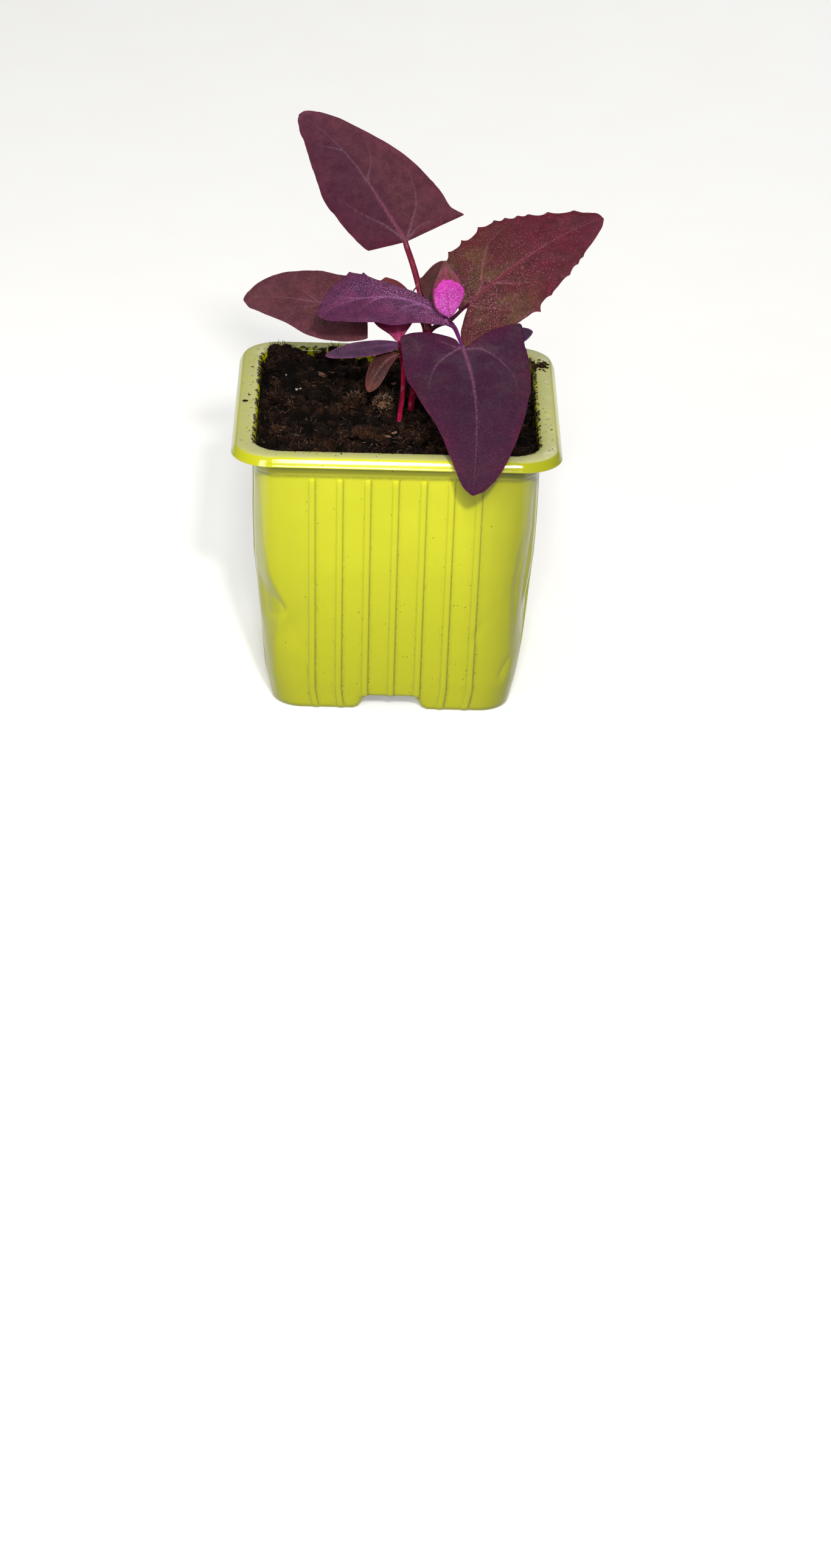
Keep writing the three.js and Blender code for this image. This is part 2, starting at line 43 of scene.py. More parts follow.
# Camera: the photograph's height and focal length in pixels, its place in millimetres, its turns in degrees
IMAGE_HEIGHT = 2576
FOCAL_PIXELS = 6650
SENSOR = 36
CAMERA_PLACE = (-9.2, -1053.1, 494.4)
CAMERA_YAW = 0.955
CAMERA_PITCH = 26.9
CAMERA_ROLL = 1.74

# Lights: place in metres, width, power, colour and height over width. All aim at the same place
LIGHTS = {
    "key": ((0.1, -1.0, 0.74), 0.07, 8.0, (1.0, 0.98, 0.95), 1.0),
    "strip": ((-0.015, -1.0, 0.76), 0.085, 5.5, (1, 1, 1), 5.0),
    "left": ((-0.5, -0.85, 0.45), 0.3, 2.6, (0.96, 0.98, 1.0), 2.0),
    "top": ((0, -0.1, 1.2), 1.0, 1.4, (1, 1, 1), 1.0),
    "back": ((0.3, 0.9, 0.7), 0.6, 1.5, (1, 1, 1), 1.0),
}
LIGHT_TARGET = (0, 0, 0.08)
WORLD_LIGHT = 0.2
FLOOR_REACH = 4
FLOOR_GLOW = 0.36

# Pot
POT_HEIGHT = 80
RIM_HALF = 45
RIM_CORNER = 11.4
COLLAR_INSET = 5.6
COLLAR_HALF = RIM_HALF - COLLAR_INSET
COLLAR_BOTTOM_Z = 72.8
WALL_CORNER = 8.5
WALL_THICKNESS = 0.9
# Height and half width of the wall
WALL_PROFILE = [
    (0, 33), (3, 33.7), (9, 34.9), (18, 36.1), (30, 37.3), (44, 38.4), (56, 38.8), (72.3, 38.9),
]
RIB_COUNT = 7
RIB_PITCH = 7.65
RIB_HEIGHT = 0.5
RIB_PITCH_AT_BASE = 0.95
# Rib section: place across it, share of its height, then its dirt and painted crease shade at each place
RIB_SECTION = [
    (-1.25, 0), (-1.02, 0.08), (-0.84, 0.45), (-0.66, 0.86), (-0.44, 1), (0, 1.06),
    (0.44, 1), (0.66, 0.86), (0.84, 0.45), (1.02, 0.08), (1.25, 0),
]
RIB_DIRT = [1, 1, 0.6, 0.1, 0, 0, 0, 0.2, 0.8, 1, 1]
# Painted shade across a rib, darkest along its right flank
RIB_CREASE_SHADE = [0.05, 0.25, 0.12, 0, 0, 0, 0, 0.1, 0.75, 0.9, 0.2]
DIRT_BETWEEN_RIBS = [0.2, 0.06, 0.2]
CORNER_STEPS = 34
# Rim: inset from its edge and height, from the inside over the top to under the lip
RIM_PROFILE = [
    (COLLAR_INSET + 0.75, 79.1), (COLLAR_INSET + 0.5, 79.5), (COLLAR_INSET + 0.1, 79.75),
    (COLLAR_INSET - 0.7, 79.9), (4.0, 80), (3.0, 79.99), (2.3, 79.95), (1.8, 79.86), (1.42, 79.72),
    (1.12, 79.5), (0.92, 79.22), (0.74, 78.91), (0.57, 78.6), (0.42, 78.26), (0.28, 77.9), (0.15, 77.6),
    (0.05, 77.4), (0, 77.26), (0.06, 77.18), (0.3, 77.16), (0.6, 77.2), (0.85, 77.4), (1.0, 77.8),
    (1.5, 78.55), (COLLAR_INSET - 0.6, 78.5),
]
# Collar, a soft roll between two creases: height, how far it stands out and how dark its painted shade is
COLLAR_PROFILE = [
    (78.3, 0, 0.6), (77.5, 0, 0.6), (76.6, 0.06, 0.6), (75.6, 0.12, 0.6), (74.9, 0.13, 0.6),
    (74.6, 0.13, 0.6), (74.3, 0.12, 0), (73.6, 0.06, 0), (73.1, -0.1, 0), (72.8, -0.28, 0),
    (72.55, -0.42, 0.95), (72.3, -0.5, 0.95), (72, -0.46, 0.95),
]
# Round foot of the wall: inset and height
FOOT_PROFILE = [(0.0, 1.25), (0.06, 0.85), (0.2, 0.5), (0.42, 0.24), (0.7, 0.08), (1.05, 0.0)]
# Dirt and painted crease shade off the wall, where the wall's own are 1
RIM_DIRT = 0.12
COLLAR_DIRT = 0.2
FOOT_DIRT = 0.6
FOOT_CREASE_SHADE = 0.3
# Half widths of the rings in the floor and under it, and heights of the rings inside the wall
FLOOR_RINGS = (3, 10, 17, 21, 23, 25, 27, 29, 31)
BASE_RINGS = (31, 30, 28, 26, 25, 24.4, 23.8, 23.2, 22, 17, 10, 3)
FLOOR_ROUNDNESS = 0.4
INNER_RINGS = (1.4, 3, 6, 9, 14, 20, 28, 36, 44, 52, 60, 66, 70)
# Heights of the rings outside the wall, from its top down
WALL_RINGS = [71.7, 71.3, 70.8, *np.linspace(70, 4.5, 62), 3.9, 3.3, 2.7, 2.2, 1.7]
# Soil stains up the inside of the collar: height and strength
COLLAR_STAINS = [(73.7, 0.9), (75, 0.62), (76.5, 0.46), (POT_HEIGHT - 1.6, 0.42)]
# How deep the dents go inside the wall, as a share of their depth outside
INNER_DENTS = 0.7
NOTCH_HEIGHT = 4
NOTCH_TOP_WIDTH = 13.5
NOTCH_BASE_WIDTH = 20
NOTCH_DEPTH = 9
DRAIN_PLACE = 17
DRAIN_RADIUS = 3.2
DRAIN_SIDES = 32

# Soil; its heaps, and the banks against the pot's inside, by place, radius and height
SOIL_LEVEL = 74.2
SOIL_HALF = COLLAR_HALF - WALL_THICKNESS - 0.3
SOIL_CORNER = WALL_CORNER - WALL_THICKNESS
SOIL_HEAPS = [
    (-26, 27, 11, 4.2), (-4, 31, 12, 2.6), (24, 26, 12, 2.2), (-7.5, -4, 4.6, 1.9), (-13, -2.5, 3.2, 1.2),
    (-11, 13, 3, 2.3), (-3.5, 9, 2.4, 2.2), (-24, -10, 5, 1.2), (13, 16, 5, 1.4), (24, -6, 6, 1.3),
]
SOIL_BANKS = [
    (-34, 36, 4.8, 4.8), (-27, 33, 5, 0.8), (-17.6, 36.8, 2.8, 4.2), (-8, 37.2, 4, 1.8), (2, 37.2, 6, 1.8),
    (14, 37.2, 6, 2.0), (24, 36.5, 5, 1.4), (34, 35, 5, 2.4), (-37.5, 19, 5, 1.6), (-38, 4, 4, 0.7),
    (38, 12, 6, 1.4), (38, -10, 6, 1.0), (-20, -38, 6, 0.9), (2, -38, 7, 0.8), (22, -38, 6, 0.7),
]
# Where the stems stand, and how far the fibres keep from each
STEM_FEET = [(0.7, -0.8), (3.9, 9)]
STEM_GAPS = [1.6, 1.8]
# How many there are of each kind of bit
LUMP_COUNT = 620
CRUMB_COUNT = 900
EDGE_CRUMB_COUNT = 460
CLOD_COUNT = 60
FIBRE_COUNT = 11000
ROOT_COUNT = 46
GRIT_COUNT = 120
SPILL_COUNT = 46

# Stems: points up the middle, radius at the foot and at the top, nodes as (share of the length, swelling),
# and how far the top darkens
STEMS = {
    "stem_main": {
        "path": [
            (3.8, 9.2, 66), (4, 8.8, 74), (4.8, 8, 82), (7.3, 6.8, 93), (8.6, 5.8, 98), (11.2, 3, 101.2),
            (13.4, 1.1, 102.6), (14.2, 0.2, 103.9),
        ],
        "radii": (1.12, 0.62),
        "nodes": [(0.42, 0.16), (0.66, 0.12)],
        "dark_top": 1,
    },
    "stem_small": {
        "path": [(0.6, -0.6, 66), (0.7, -0.9, 74), (1.5, -0.6, 82), (1.4, -0.2, 90), (0.3, 0, 96.2)],
        "radii": (0.86, 0.66),
        "nodes": [(0.86, 0.18), (0.98, 0.15)],
        "dark_top": 0.8,
    },
}

# Colours of a leaf's skin, in the order of each leaf's "skin"
SKIN = "blade patch base tip margin dark vein dots core under under_dark under_vein".split()
# Leaves, as in the solid model. Places on a blade are (along, away) from its midrib's base.
# petiole, stub and midrib: points up the stalk, a cut side stalk and the midrib's Bezier arch
# minus, plus and base: the outline's two sides, and their ends at the base
# teeth: share of the margin's length and height; veins: lines from the midrib; faint: the weak ones' numbers
# radii: of the stalk at its foot and at the blade; face: the way the upper side looks
# wave: height and number of waves in the margin; cup: how far both margins lift; corner: rounding at the base
# rib: the midrib's width; core and core_width: share of the length and half width of its bright middle
# hood: where the tip turns dark, how that line drops to the sides, and where one side does
# meal: patches of mealy cells as (along, away, reach along, reach away, share)
# look: further colours and settings of the skin. What a leaf leaves out is as in LEAF and LOOK
LEAF = {
    "stalk": "crimson", "faint": (), "rib": 0.5, "cup": 0, "corner": 0.35, "core": 0.35, "core_width": 0.16,
    "base": {}, "teeth": {}, "look": {},
}
LOOK = {
    "base_reach": 0.45, "base_share": 0.8, "tip_from": 0.7, "tip_to": 1.05, "tip_share": 0.35, "glow": 0.45,
    "mottle": 0.55, "vein_share": 0.6, "core_share": 0.8, "down_size": 0.26, "dot_low": 0.58,
    "dot_share": 0.5, "rough": 0.5, "specular": 0.13,
}
LEAVES = {
    "leaf_top": {
        "slot": "leaf_plum", "radii": (0.98, 0.8), "face": (-0.1, -0.95, 0.3), "wave": (0.5, 2.2),
        "faint": (1, 2, 7), "rib": 0.52,
        "petiole": [
            (8.4, 6, 98.2), (7, 7.8, 103.4), (5.6, 9.8, 108.4), (3.4, 11.6, 115.5), (0.4, 13.3, 123.2),
        ],
        "stub": [(5.2, 10.2, 109.8), (4.33, 10.2, 109), (3.35, 10, 107.8), (3.1, 10, 108.5)],
        "midrib": [(1.5, 13, 121.5), (-7.5, 13, 135), (-14.5, 9, 150.5), (-28.5, 7, 159)],
        "minus": [
            (3.5, 10.5), (8.5, 11.6), (15, 12.7), (22, 12.9), (29, 11.5), (36, 9.1), (42, 6.2), (46.2, 3.8),
            (48.3, 1.8), (48.95, 0.3),
        ],
        "plus": [
            (-2.2, 17.8), (1.7, 15.7), (8.2, 15.4), (14.2, 14.5), (21, 12.9), (29, 9.6), (37.5, 6.2),
            (44.2, 3.8), (47.7, 2), (48.95, 0.3),
        ],
        "veins": [
            [(1, -0.3), (3, -0.8), (7.5, -2.5), (11.5, -5), (16.5, -7.5), (21, -8.7), (25, -9)],
            [(4, -1.5), (7.5, -6), (10, -8.5), (12.5, -10)],
            [(19.5, 0), (22.5, -1.2), (25.5, -3), (29.5, -5), (33, -6)],
            [(32.5, 0), (34.5, -1), (38, -3.2), (40.5, -4)],
            [(0.3, 0.3), (1, 1), (4, 4), (7.5, 7.5), (11.5, 9.5), (15, 10.5), (18.5, 10.7), (23, 9.6)],
            [(0.2, 0.4), (2, 5), (1.5, 9), (0.5, 13.5)],
            [(20, 0), (22, 0.8), (24.5, 3.3), (28, 5.4), (32, 6)], [(31, 0), (33.5, 1.5), (37, 3)],
        ],
        "meal": [(5, 0, 16, 9, 0.14), (24, 0, 30, 14, 0.03)],
        "skin": "5a2e3d 50293b 532031 562a3a 6e2440 3a1826 846070 b898a4 8c1440 8e2f63 6a2450 b06088",
        "look": {"half": "683c40"},
    },
    "leaf_right": {
        "slot": "leaf_burgundy", "stalk": "dark", "radii": (0.56, 0.5), "face": (-0.2, -0.75, 0.6),
        "wave": (0.6, 2.6), "faint": (1, 2, 3, 6, 7, 8), "rib": 0.42, "core": 0.5, "core_width": 0.36,
        "petiole": [(13.8, 0.6, 103), (15.6, 2.9, 104), (17.3, 5.5, 104.8), (19.2, 8.2, 105.6)],
        "midrib": [(19, 8, 105.5), (30, 14, 113.5), (41.5, 21.5, 121.5), (56, 23, 126)],
        "minus": [
            (2.5, 13), (6.3, 14.6), (11.4, 15), (16.9, 14.8), (22, 13.2), (28, 10.3), (34, 7.3), (40, 4.3),
            (44.4, 2.1), (45.6, 0.4),
        ],
        "plus": [
            (-8.5, 12.5), (-2, 14.2), (6, 13.5), (13, 14), (19.5, 13), (26, 11.5), (32.6, 9.1), (38.5, 6.5),
            (43.8, 3), (45.6, 0.4),
        ],
        "base": {
            "minus": [(-3, 0), (-2.9, 0.5), (-2.4, 2.2), (-1.9, 4.2), (0, 9), (2.5, 13)],
            "plus": [
                (-3, 0), (-1.4, 0.3), (-1, 0.8), (-2.6, 1.9), (-4.7, 3.4), (-7.2, 5.4), (-8.9, 8.5),
                (-8.5, 12.5),
            ],
        },
        "teeth": {
            "minus": [
                (0.11, 0.7), (0.22, 0.9), (0.33, 0.8), (0.42, 0.7), (0.47, 0.7), (0.525, 0.7), (0.57, 0.6),
                (0.65, 0.7), (0.76, 0.4),
            ],
            "plus": [(0.345, 1.3), (0.45, 0.4), (0.6, 0.5), (0.672, 0.5), (0.72, 0.4)],
        },
        "veins": [
            [
                (4, -0.3), (6.5, -1.7), (9, -4.5), (12.5, -7.5), (15, -9.5), (18, -10.7), (23.5, -10.5),
                (26.5, -9),
            ],
            [(0.3, -0.3), (2, -3.5), (4, -7), (7.5, -10.5)], [(22, 0), (24, -0.8), (27.5, -5), (31, -7)],
            [(32, 0), (34.5, -1.5), (37.5, -4)],
            [(8, 0), (10, 0.6), (12.5, 3), (15.5, 5.5), (19, 7.5), (24, 10)],
            [(0, 0.2), (2, 3.5), (5, 6.5), (8, 9.5), (11.5, 11.3)], [(-0.4, 0.4), (-1.5, 4), (-3, 8)],
            [(20, 0), (23, 1.8), (27, 5), (31, 7.5)], [(31, 0), (34, 1.8), (37.5, 4.5)],
        ],
        "meal": [(2, 0, 13, 13, 0.9), (15, 2, 14, 12, 0.45), (30, 0, 18, 10, 0.1)],
        "skin": "5f1a2a 541b27 5a2e26 3f1433 6d1d32 3a1a1a 9a5a64 dd99c0 64122a 8c2f58 6a2444 b86a80",
        "look": {
            "dot_share": 0.5, "specular": 0.12, "base_reach": 0.62, "base_share": 0.95, "vein_share": 0.6,
            "base_patch": "63522a", "core_share": 0.9, "down_size": 0.3, "dot_low": 0.57,
        },
    },
    "leaf_front": {
        "slot": "leaf_plum", "stalk": "violet", "radii": (0.72, 0.45), "face": (0.05, -0.45, 0.9),
        "wave": (0.5, 2), "faint": (2, 4, 5, 6, 7, 8, 9), "corner": 0.9,
        "petiole": [(14.4, -0.4, 102.6), (15.3, -3, 102.5), (16.4, -6.5, 101.2), (17.5, -10, 99.5)],
        "midrib": [(17.5, -10, 99.5), (22, -24.5, 92.5), (21.5, -48, 93.5), (20.5, -53, 74)],
        "minus": [
            (-6.2, 19), (-0.3, 17.3), (6, 16.8), (13, 16.2), (21, 14.8), (30, 12.8), (38.5, 10.3),
            (46.5, 7.2), (51, 4), (52.9, 0.6),
        ],
        "plus": [
            (-7.6, 16), (-2, 16.8), (5, 17.7), (12, 17.6), (19, 16.4), (26, 14.4), (34, 10.7), (43, 6.8),
            (50.2, 3.6), (52.9, 0.6),
        ],
        "base": {
            "minus": [(0, 0), (-0.5, 1.8), (-2.8, 5.8), (-5.1, 10.8), (-5.9, 15.4), (-6.2, 19)],
            "plus": [
                (0, 0), (-0.9, 0.5), (-3, 1.1), (-4.4, 2.4), (-6, 5.1), (-7.5, 8.6), (-8.1, 13), (-7.6, 16),
            ],
        },
        "veins": [
            [(0, 0.3), (0.5, 1.5), (2.5, 5), (6, 8.5), (13, 11.5), (19, 12.3), (25, 11.5)],
            [(-0.3, 0.5), (-0.5, 2), (-3.5, 5.5), (-5.5, 9.5)], [(-0.1, 0.3), (0, 3.5), (1.5, 8), (3.5, 12)],
            [(1, -0.2), (1.5, -4.5), (4.5, -7.5), (9, -10), (13, -11.5), (19, -11.8), (25, -10.8)],
            [(0.3, -0.3), (0, -5), (-0.5, -9), (1, -12)], [(-0.3, -0.3), (-2, -5), (-4.5, -10)],
            [(18, 0), (22, 1.3), (26, 4.5), (31, 7)], [(21, 0), (25, -1), (27, -4.5), (31, -7)],
            [(29, 0), (32, -1), (34.5, -3.2), (38, -5)], [(34, 0), (38, 1), (41.5, 3)],
        ],
        "meal": [(-2, 0, 9, 9, 0.12), (24, 0, 30, 16, 0.025)],
        "skin": "422032 391d2e 462139 371123 5c1937 341a30 8a5c78 a886a0 843058 9c2f70 74255a b8689a",
        "look": {
            "core_share": 0.5, "glow": 0.75, "base_patch": "4c3944", "base_reach": 0.85, "rough": 0.6,
            "specular": 0.06,
        },
    },
    "leaf_left": {
        "slot": "leaf_violet", "stalk": "violet", "radii": (0.85, 0.75), "face": (0, -0.45, 0.9),
        "wave": (0.4, 2),
        "petiole": [(13.6, 0.5, 102.6), (12.4, 0.7, 103.6), (11.3, 0.7, 104.5)],
        "midrib": [(13.5, 0, 103), (3, 4, 111.5), (-12.5, 1, 111), (-22.5, -5, 105.5)],
        "minus": [
            (-0.5, 0.9), (3, 3.9), (8, 6.8), (13.5, 9.2), (18.7, 10.2), (24, 9.7), (29.5, 8), (34.6, 5.4),
            (37.8, 3), (39, 0.6),
        ],
        "plus": [
            (-0.5, 0.9), (4, 2.2), (10.4, 3.5), (16.2, 4.6), (20.4, 6.2), (23.2, 8.6), (26.2, 9.8), (31, 7.4),
            (36.4, 3.2), (39, 0.6),
        ],
        "base": {"minus": [(-3, 0), (-2.6, 0.4), (-0.5, 0.9)], "plus": [(-3, 0), (-2.6, 0.4), (-0.5, 0.9)]},
        "teeth": {"plus": [(0.555, 0.9), (0.665, 0.9)]},
        "veins": [
            [(13, 0), (16, 0.6), (20, 2.5), (23, 5)], [(25, 0), (28, 0.8), (30.5, 2.3), (33, 4.5)],
            [(8, 0), (11.5, -1.5), (16, -5.5), (20, -7.5)], [(19, 0), (22, -0.8), (26.5, -3.5), (30, -5.5)],
            [(4, 0), (7, -2.2), (10.5, -5)],
        ],
        "meal": [
            (12, 2, 12, 4, 0.95), (23, 4, 8, 4, 0.6), (3, -1, 9, 5, 0.95), (31, 2, 6, 3, 0.3),
            (12, -3, 10, 3, 0.6), (22, -8, 14, 2, 0.25),
        ],
        "skin": "6d2f52 5f2a47 78335c 5e2b49 64284a 2f1431 a770a2 b488bc 8a2a70 8e2f7c 642562 a868a8",
        "look": {"dot_share": 0.8, "dot_low": 0.52, "down_size": 0.32},
    },
    "leaf_back_left": {
        "slot": "leaf_burgundy", "radii": (0.8, 0.62), "face": (0, -0.7, 0.7), "wave": (0.3, 1.5),
        "petiole": [
            (7.5, 7.2, 95.6), (7.2, 9, 98), (5.2, 11, 101), (-1.5, 13.2, 103.3), (-10.6, 14.3, 102.6),
        ],
        "midrib": [(-9, 14, 103), (-20.5, 16, 99.5), (-31.5, 23, 103), (-43.5, 22, 100)],
        "minus": [
            (0.4, 11), (5.6, 11.4), (10, 11.1), (15.4, 10), (21.3, 7.9), (27.5, 6), (32.4, 4), (35, 2.4),
            (36, 0.5),
        ],
        "plus": [
            (-0.2, 6.6), (4.5, 8.6), (10, 9.3), (16, 9.6), (21.5, 8.7), (26.4, 7.4), (31, 5.1), (34.4, 2.4),
            (36, 0.5),
        ],
        "veins": [
            [(4, 0), (8, 2), (12, 5), (16, 7)], [(14, 0), (18, 2), (22, 4.5)],
            [(3, 0), (6, -3), (10, -6.5), (14, -8.5)], [(13, 0), (17, -2.2), (21, -5)],
        ],
        "meal": [
            (12, -4, 10, 6, 0.3), (8, 5, 12, 5, 0.2), (24, 0, 14, 8, 0.06), (18.5, 6.3, 0.7, 0.5, 1),
            (19.6, 5.2, 0.5, 0.4, 1), (17.2, 3.6, 0.7, 0.4, 1), (18.2, 2.6, 0.4, 0.3, 1),
            (20.2, 6.9, 0.4, 0.3, 1), (10, -7.5, 0.5, 0.4, 1),
        ],
        "skin": "67343c 582f35 643137 6a4046 6e3440 2e171a 865c66 b69aa4 7c2038 8a3358 642644 a8607c",
        "look": {"vein_share": 0.45, "mottle": 0.32, "tip_from": 0.5, "tip_share": 0.5},
    },
    "leaf_young": {
        "slot": "leaf_magenta", "stalk": "violet", "radii": (0.5, 0.42), "face": (0, -0.95, 0.3),
        "wave": (0.2, 1.5), "cup": 0.7, "hood": (0.7, 0.16, 0.88),
        "petiole": [(14.4, -0.2, 104.7), (14.1, -1.2, 105.2), (13.9, -1.9, 106.4)],
        "midrib": [(14, -1.5, 105), (13, -3, 110), (13, -4.5, 116.5), (12, -1, 121.5)],
        "minus": [(0.5, 0.9), (2.2, 2.7), (4.5, 4), (8, 4.3), (11.2, 3.6), (14.2, 2), (16.9, 0.4)],
        "plus": [(0.5, 0.9), (3, 2.4), (5.8, 3.9), (8.8, 4.5), (11.8, 3.6), (14.6, 1.8), (16.9, 0.4)],
        "veins": [[(3, 0), (5, 1.3), (7.5, 2.6)], [(3.5, 0), (6, -1.4), (8, -2.6)]],
        "meal": [(3.5, 0, 6, 5, 1.0), (8, 0, 3, 4, 0.6)],
        "skin": "f93ed6 dd33bd ff62f5 74303c c04098 901c78 9a1f6a ee94e2 8a1858 b02088 8c1a6e c850a8",
        "look": {
            "dot_share": 0.75, "dot_low": 0.46, "hood": "7a3244", "hood_patch": "5a3026",
            "hood_edge": "5e2244",
        },
    },
    "leaf_young_back": {
        "slot": "leaf_burgundy", "radii": (0.6, 0.5), "face": (0, -0.9, 0.4), "wave": (0.2, 1.5), "cup": 0.8,
        "petiole": [(14.3, 0.4, 104.7), (13.4, 2.7, 105), (12.4, 3.5, 105.8)],
        "midrib": [(13.4, 2.8, 104.7), (10.8, 3.8, 107.2), (8.5, 6, 110), (6.1, 8.5, 112)],
        "minus": [(0.3, 0.7), (2, 1), (4.4, 1.7), (6.8, 2.4), (9, 2), (11, 1.2), (12.6, 0.5)],
        "plus": [(0.3, 0.9), (2.4, 4.2), (5.5, 6.2), (9, 7.5), (12, 8), (13.2, 5), (12.6, 0.5)],
        "veins": [[(2, 0), (4.5, 2), (7, 4.5)], [(5, 0), (8, 2), (10.5, 4)]],
        "meal": [(5, 3, 7, 5, 0.3)],
        "skin": "4d2a26 43281e 5a2430 4a2c22 6a2c3c 2c1712 6d3a3c b08a84 7a2434 7c2448 5a1c34 98506c",
    },
    "leaf_inner": {
        "slot": "leaf_magenta", "radii": (0.62, 0.5), "face": (0, -0.85, 0.5), "wave": (0.2, 1.5), "cup": 1,
        "petiole": [(0.3, -0.1, 95.4), (0, 0.5, 97), (-0.4, 1.8, 98.4)],
        "midrib": [(0, 0.5, 97), (-1, 4.5, 101.5), (-2, 9.5, 105.5), (-4, 13, 110.5)],
        "minus": [(0.3, 0.9), (2.4, 2.3), (5.5, 5.4), (9.5, 6.9), (14, 6.2), (17.6, 4), (19.2, 0.5)],
        "plus": [(0.3, 0.9), (2.4, 2.5), (5, 4.7), (9, 6.3), (13, 5.7), (17, 3.4), (19.2, 0.5)],
        "veins": [
            [(2, 0), (4.5, 1.8), (8, 4)], [(2.5, 0), (5.5, -2), (9, -4.5)], [(8, 0), (11, 2), (14, 3.5)],
        ],
        "meal": [(2.5, 0, 5, 4, 1.0), (8, 0, 6, 6, 0.4)],
        "skin": "8c1746 7a143c c02a74 5c3420 742232 560e2a b04a70 f2c0dc a02058 9c1c58 741440 c05080",
        "look": {"tip_share": 0.95, "tip_from": 0.3, "tip_to": 0.62, "base_share": 1.0},
    },
    "cotyledon_upper": {
        "slot": "cotyledon", "radii": (0.6, 0.5), "face": (0, -0.5, 0.85), "wave": (0.1, 1), "cup": 0.3,
        "petiole": [(1, -0.1, 93.6), (0.4, -0.7, 95.4), (-1.6, -1.5, 96.4)],
        "midrib": [(0, -1, 96.5), (-6.5, -2.5, 96.5), (-13, -6, 96.5), (-20, -7, 95)],
        "minus": [(0, 1), (3.6, 2.5), (8.3, 3.2), (14.2, 2.7), (18.2, 1.8), (20.2, 1), (21, 0.4)],
        "plus": [(0, 1), (3.6, 1.8), (7.6, 2.3), (12.7, 2.4), (17.2, 1.8), (20, 1), (21, 0.4)],
        "veins": [],
        "meal": [(6, 0, 8, 3, 0.2)],
        "skin": "50384e 473544 5a2f52 4c3a52 84466e 332238 6c4c6c a48ab0 5c3a5c 8c3466 66284e 985c80",
        "look": {"rough": 0.42},
    },
    "cotyledon_lower": {
        "slot": "cotyledon", "radii": (0.6, 0.5), "face": (0, -0.6, 0.8), "wave": (0.1, 1), "cup": -0.3,
        "petiole": [(1.3, -0.3, 92), (0.8, -1.4, 93.4), (-1.2, -2.8, 93.8)],
        "midrib": [(0, -2, 94), (-4.5, -4.5, 93.5), (-6.5, -7.5, 89.5), (-8, -9, 85.5)],
        "minus": [(0, 0.6), (2, 1.3), (5, 2.1), (8.4, 2.5), (11.4, 2.2), (13.4, 1.2), (14.2, 0.4)],
        "plus": [(0, 0.6), (2, 2.2), (4.6, 3.5), (7.8, 3.1), (11.2, 2.2), (13.4, 1.2), (14.2, 0.4)],
        "veins": [],
        "meal": [(7, 0, 7, 4, 0.7)],
        "skin": "38130e 32100b 430e11 77351c 753d3a 2e1718 74565a aa8b81 6a4044 8c3c56 66303e a06074",
        "look": {"tip_share": 0.9},
    },
    "cotyledon_side": {
        "slot": "cotyledon", "radii": (0.65, 0.5), "face": (0, -0.5, 0.85), "wave": (0.1, 1), "cup": 0.3,
        "petiole": [(5.9, 7.4, 87), (8, 5.8, 87.2), (11.6, 3.4, 87.8)],
        "midrib": [(10, 4, 87.5), (19.5, 1, 89), (27.5, 1.5, 94.6), (35.4, 2, 99.3)],
        "minus": [(1, 0.8), (6, 1.6), (14, 2.6), (21.5, 3), (27.2, 2.9), (29.3, 1.7), (30.2, 0.4)],
        "plus": [(1, 0.8), (6, 1.6), (14, 2.4), (21.5, 2.3), (27.2, 1.8), (29.3, 1.1), (30.2, 0.4)],
        "veins": [],
        "meal": [(15, 0, 16, 4, 0.15)],
        "skin": "3f2642 38243a 5a2444 45304c 663a5c 2a1a2c 5c3c5c 9a80a4 4c2c4c 7c2c58 5a2244 8c5074",
        "look": {"rough": 0.42},
    },
}
# Skins of the stems and stalks: deep, bright and streak colours
STALK_SKINS = {
    "stem": "7c0826 c01444 e07890",
    "stalk_dark": "3a0a22 6a1638 9a4060",
    "stalk_crimson": "5e0624 a4123e d8808e",
    "stalk_violet": "52184c 7c2f74 a878ac",
}
STEM_TOP = "4a1232"
# A tooth's half width as a share of the margin's length, how far it stands out and how pointed it is
TOOTH_HALF_WIDTH = 0.045
TOOTH_RISE = 1.35
TOOTH_POINT = 2.6
# Waves of one margin run ahead of the other's by this share of a turn
WAVE_SHIFT = 0.3
BLADE_THICKNESS = 0.42
MARGIN_THICKNESS = 0.14
# Relief of a blade: swelling between the veins, waves as (size, height), and how deep the veins and the fine
# veins lie above and stand out below
SWELL = 0.16
FINE_WAVE = (2.6, 0.07)
BROAD_WAVE = (7.0, 0.12)
VEIN_DEPTHS = (0.1, 0.28)
FINE_VEIN_DEPTHS = (0.03, 0.06)
# Veins: width at the start for no length, more of it for each millimetre, the most, and width at the end
VEIN_WIDTH = (0.14, 0.012, 0.4)
VEIN_END = 0.12
VEIN_STRENGTH = 0.85
FAINT_STRENGTH = 0.4
# Fine veins: where the first leaves, how near the end the last does, and the distance between them
FINE_VEIN_START = 2.2
FINE_VEIN_END = 0.8
FINE_VEIN_STEP = 2.4
# Leaves wider than this to one side get the finer veins and margins; grid steps along and across
WIDE_HALF = 8
WIDE_GRID = (0.33, 0.3)
NARROW_GRID = (0.3, 0.22)
# Seeds of the random draws
LEAF_SEED = 100
STEM_SEED = 50
LUMP_SEED = 23
SOIL_SEED = 5
SPILL_SEED = 8


# Small sums on arrays
def mix(a, b, t):
    return a + (b - a) * t


def ramp(low, high, value):
    """Smooth step from 0 at low to 1 at high"""
    t = np.clip((value - low) / (high - low), 0, 1)
    return t * t * (3 - 2 * t)


def unit(vectors):
    return vectors / np.maximum(np.linalg.norm(vectors, axis=-1, keepdims=True), 1e-9)


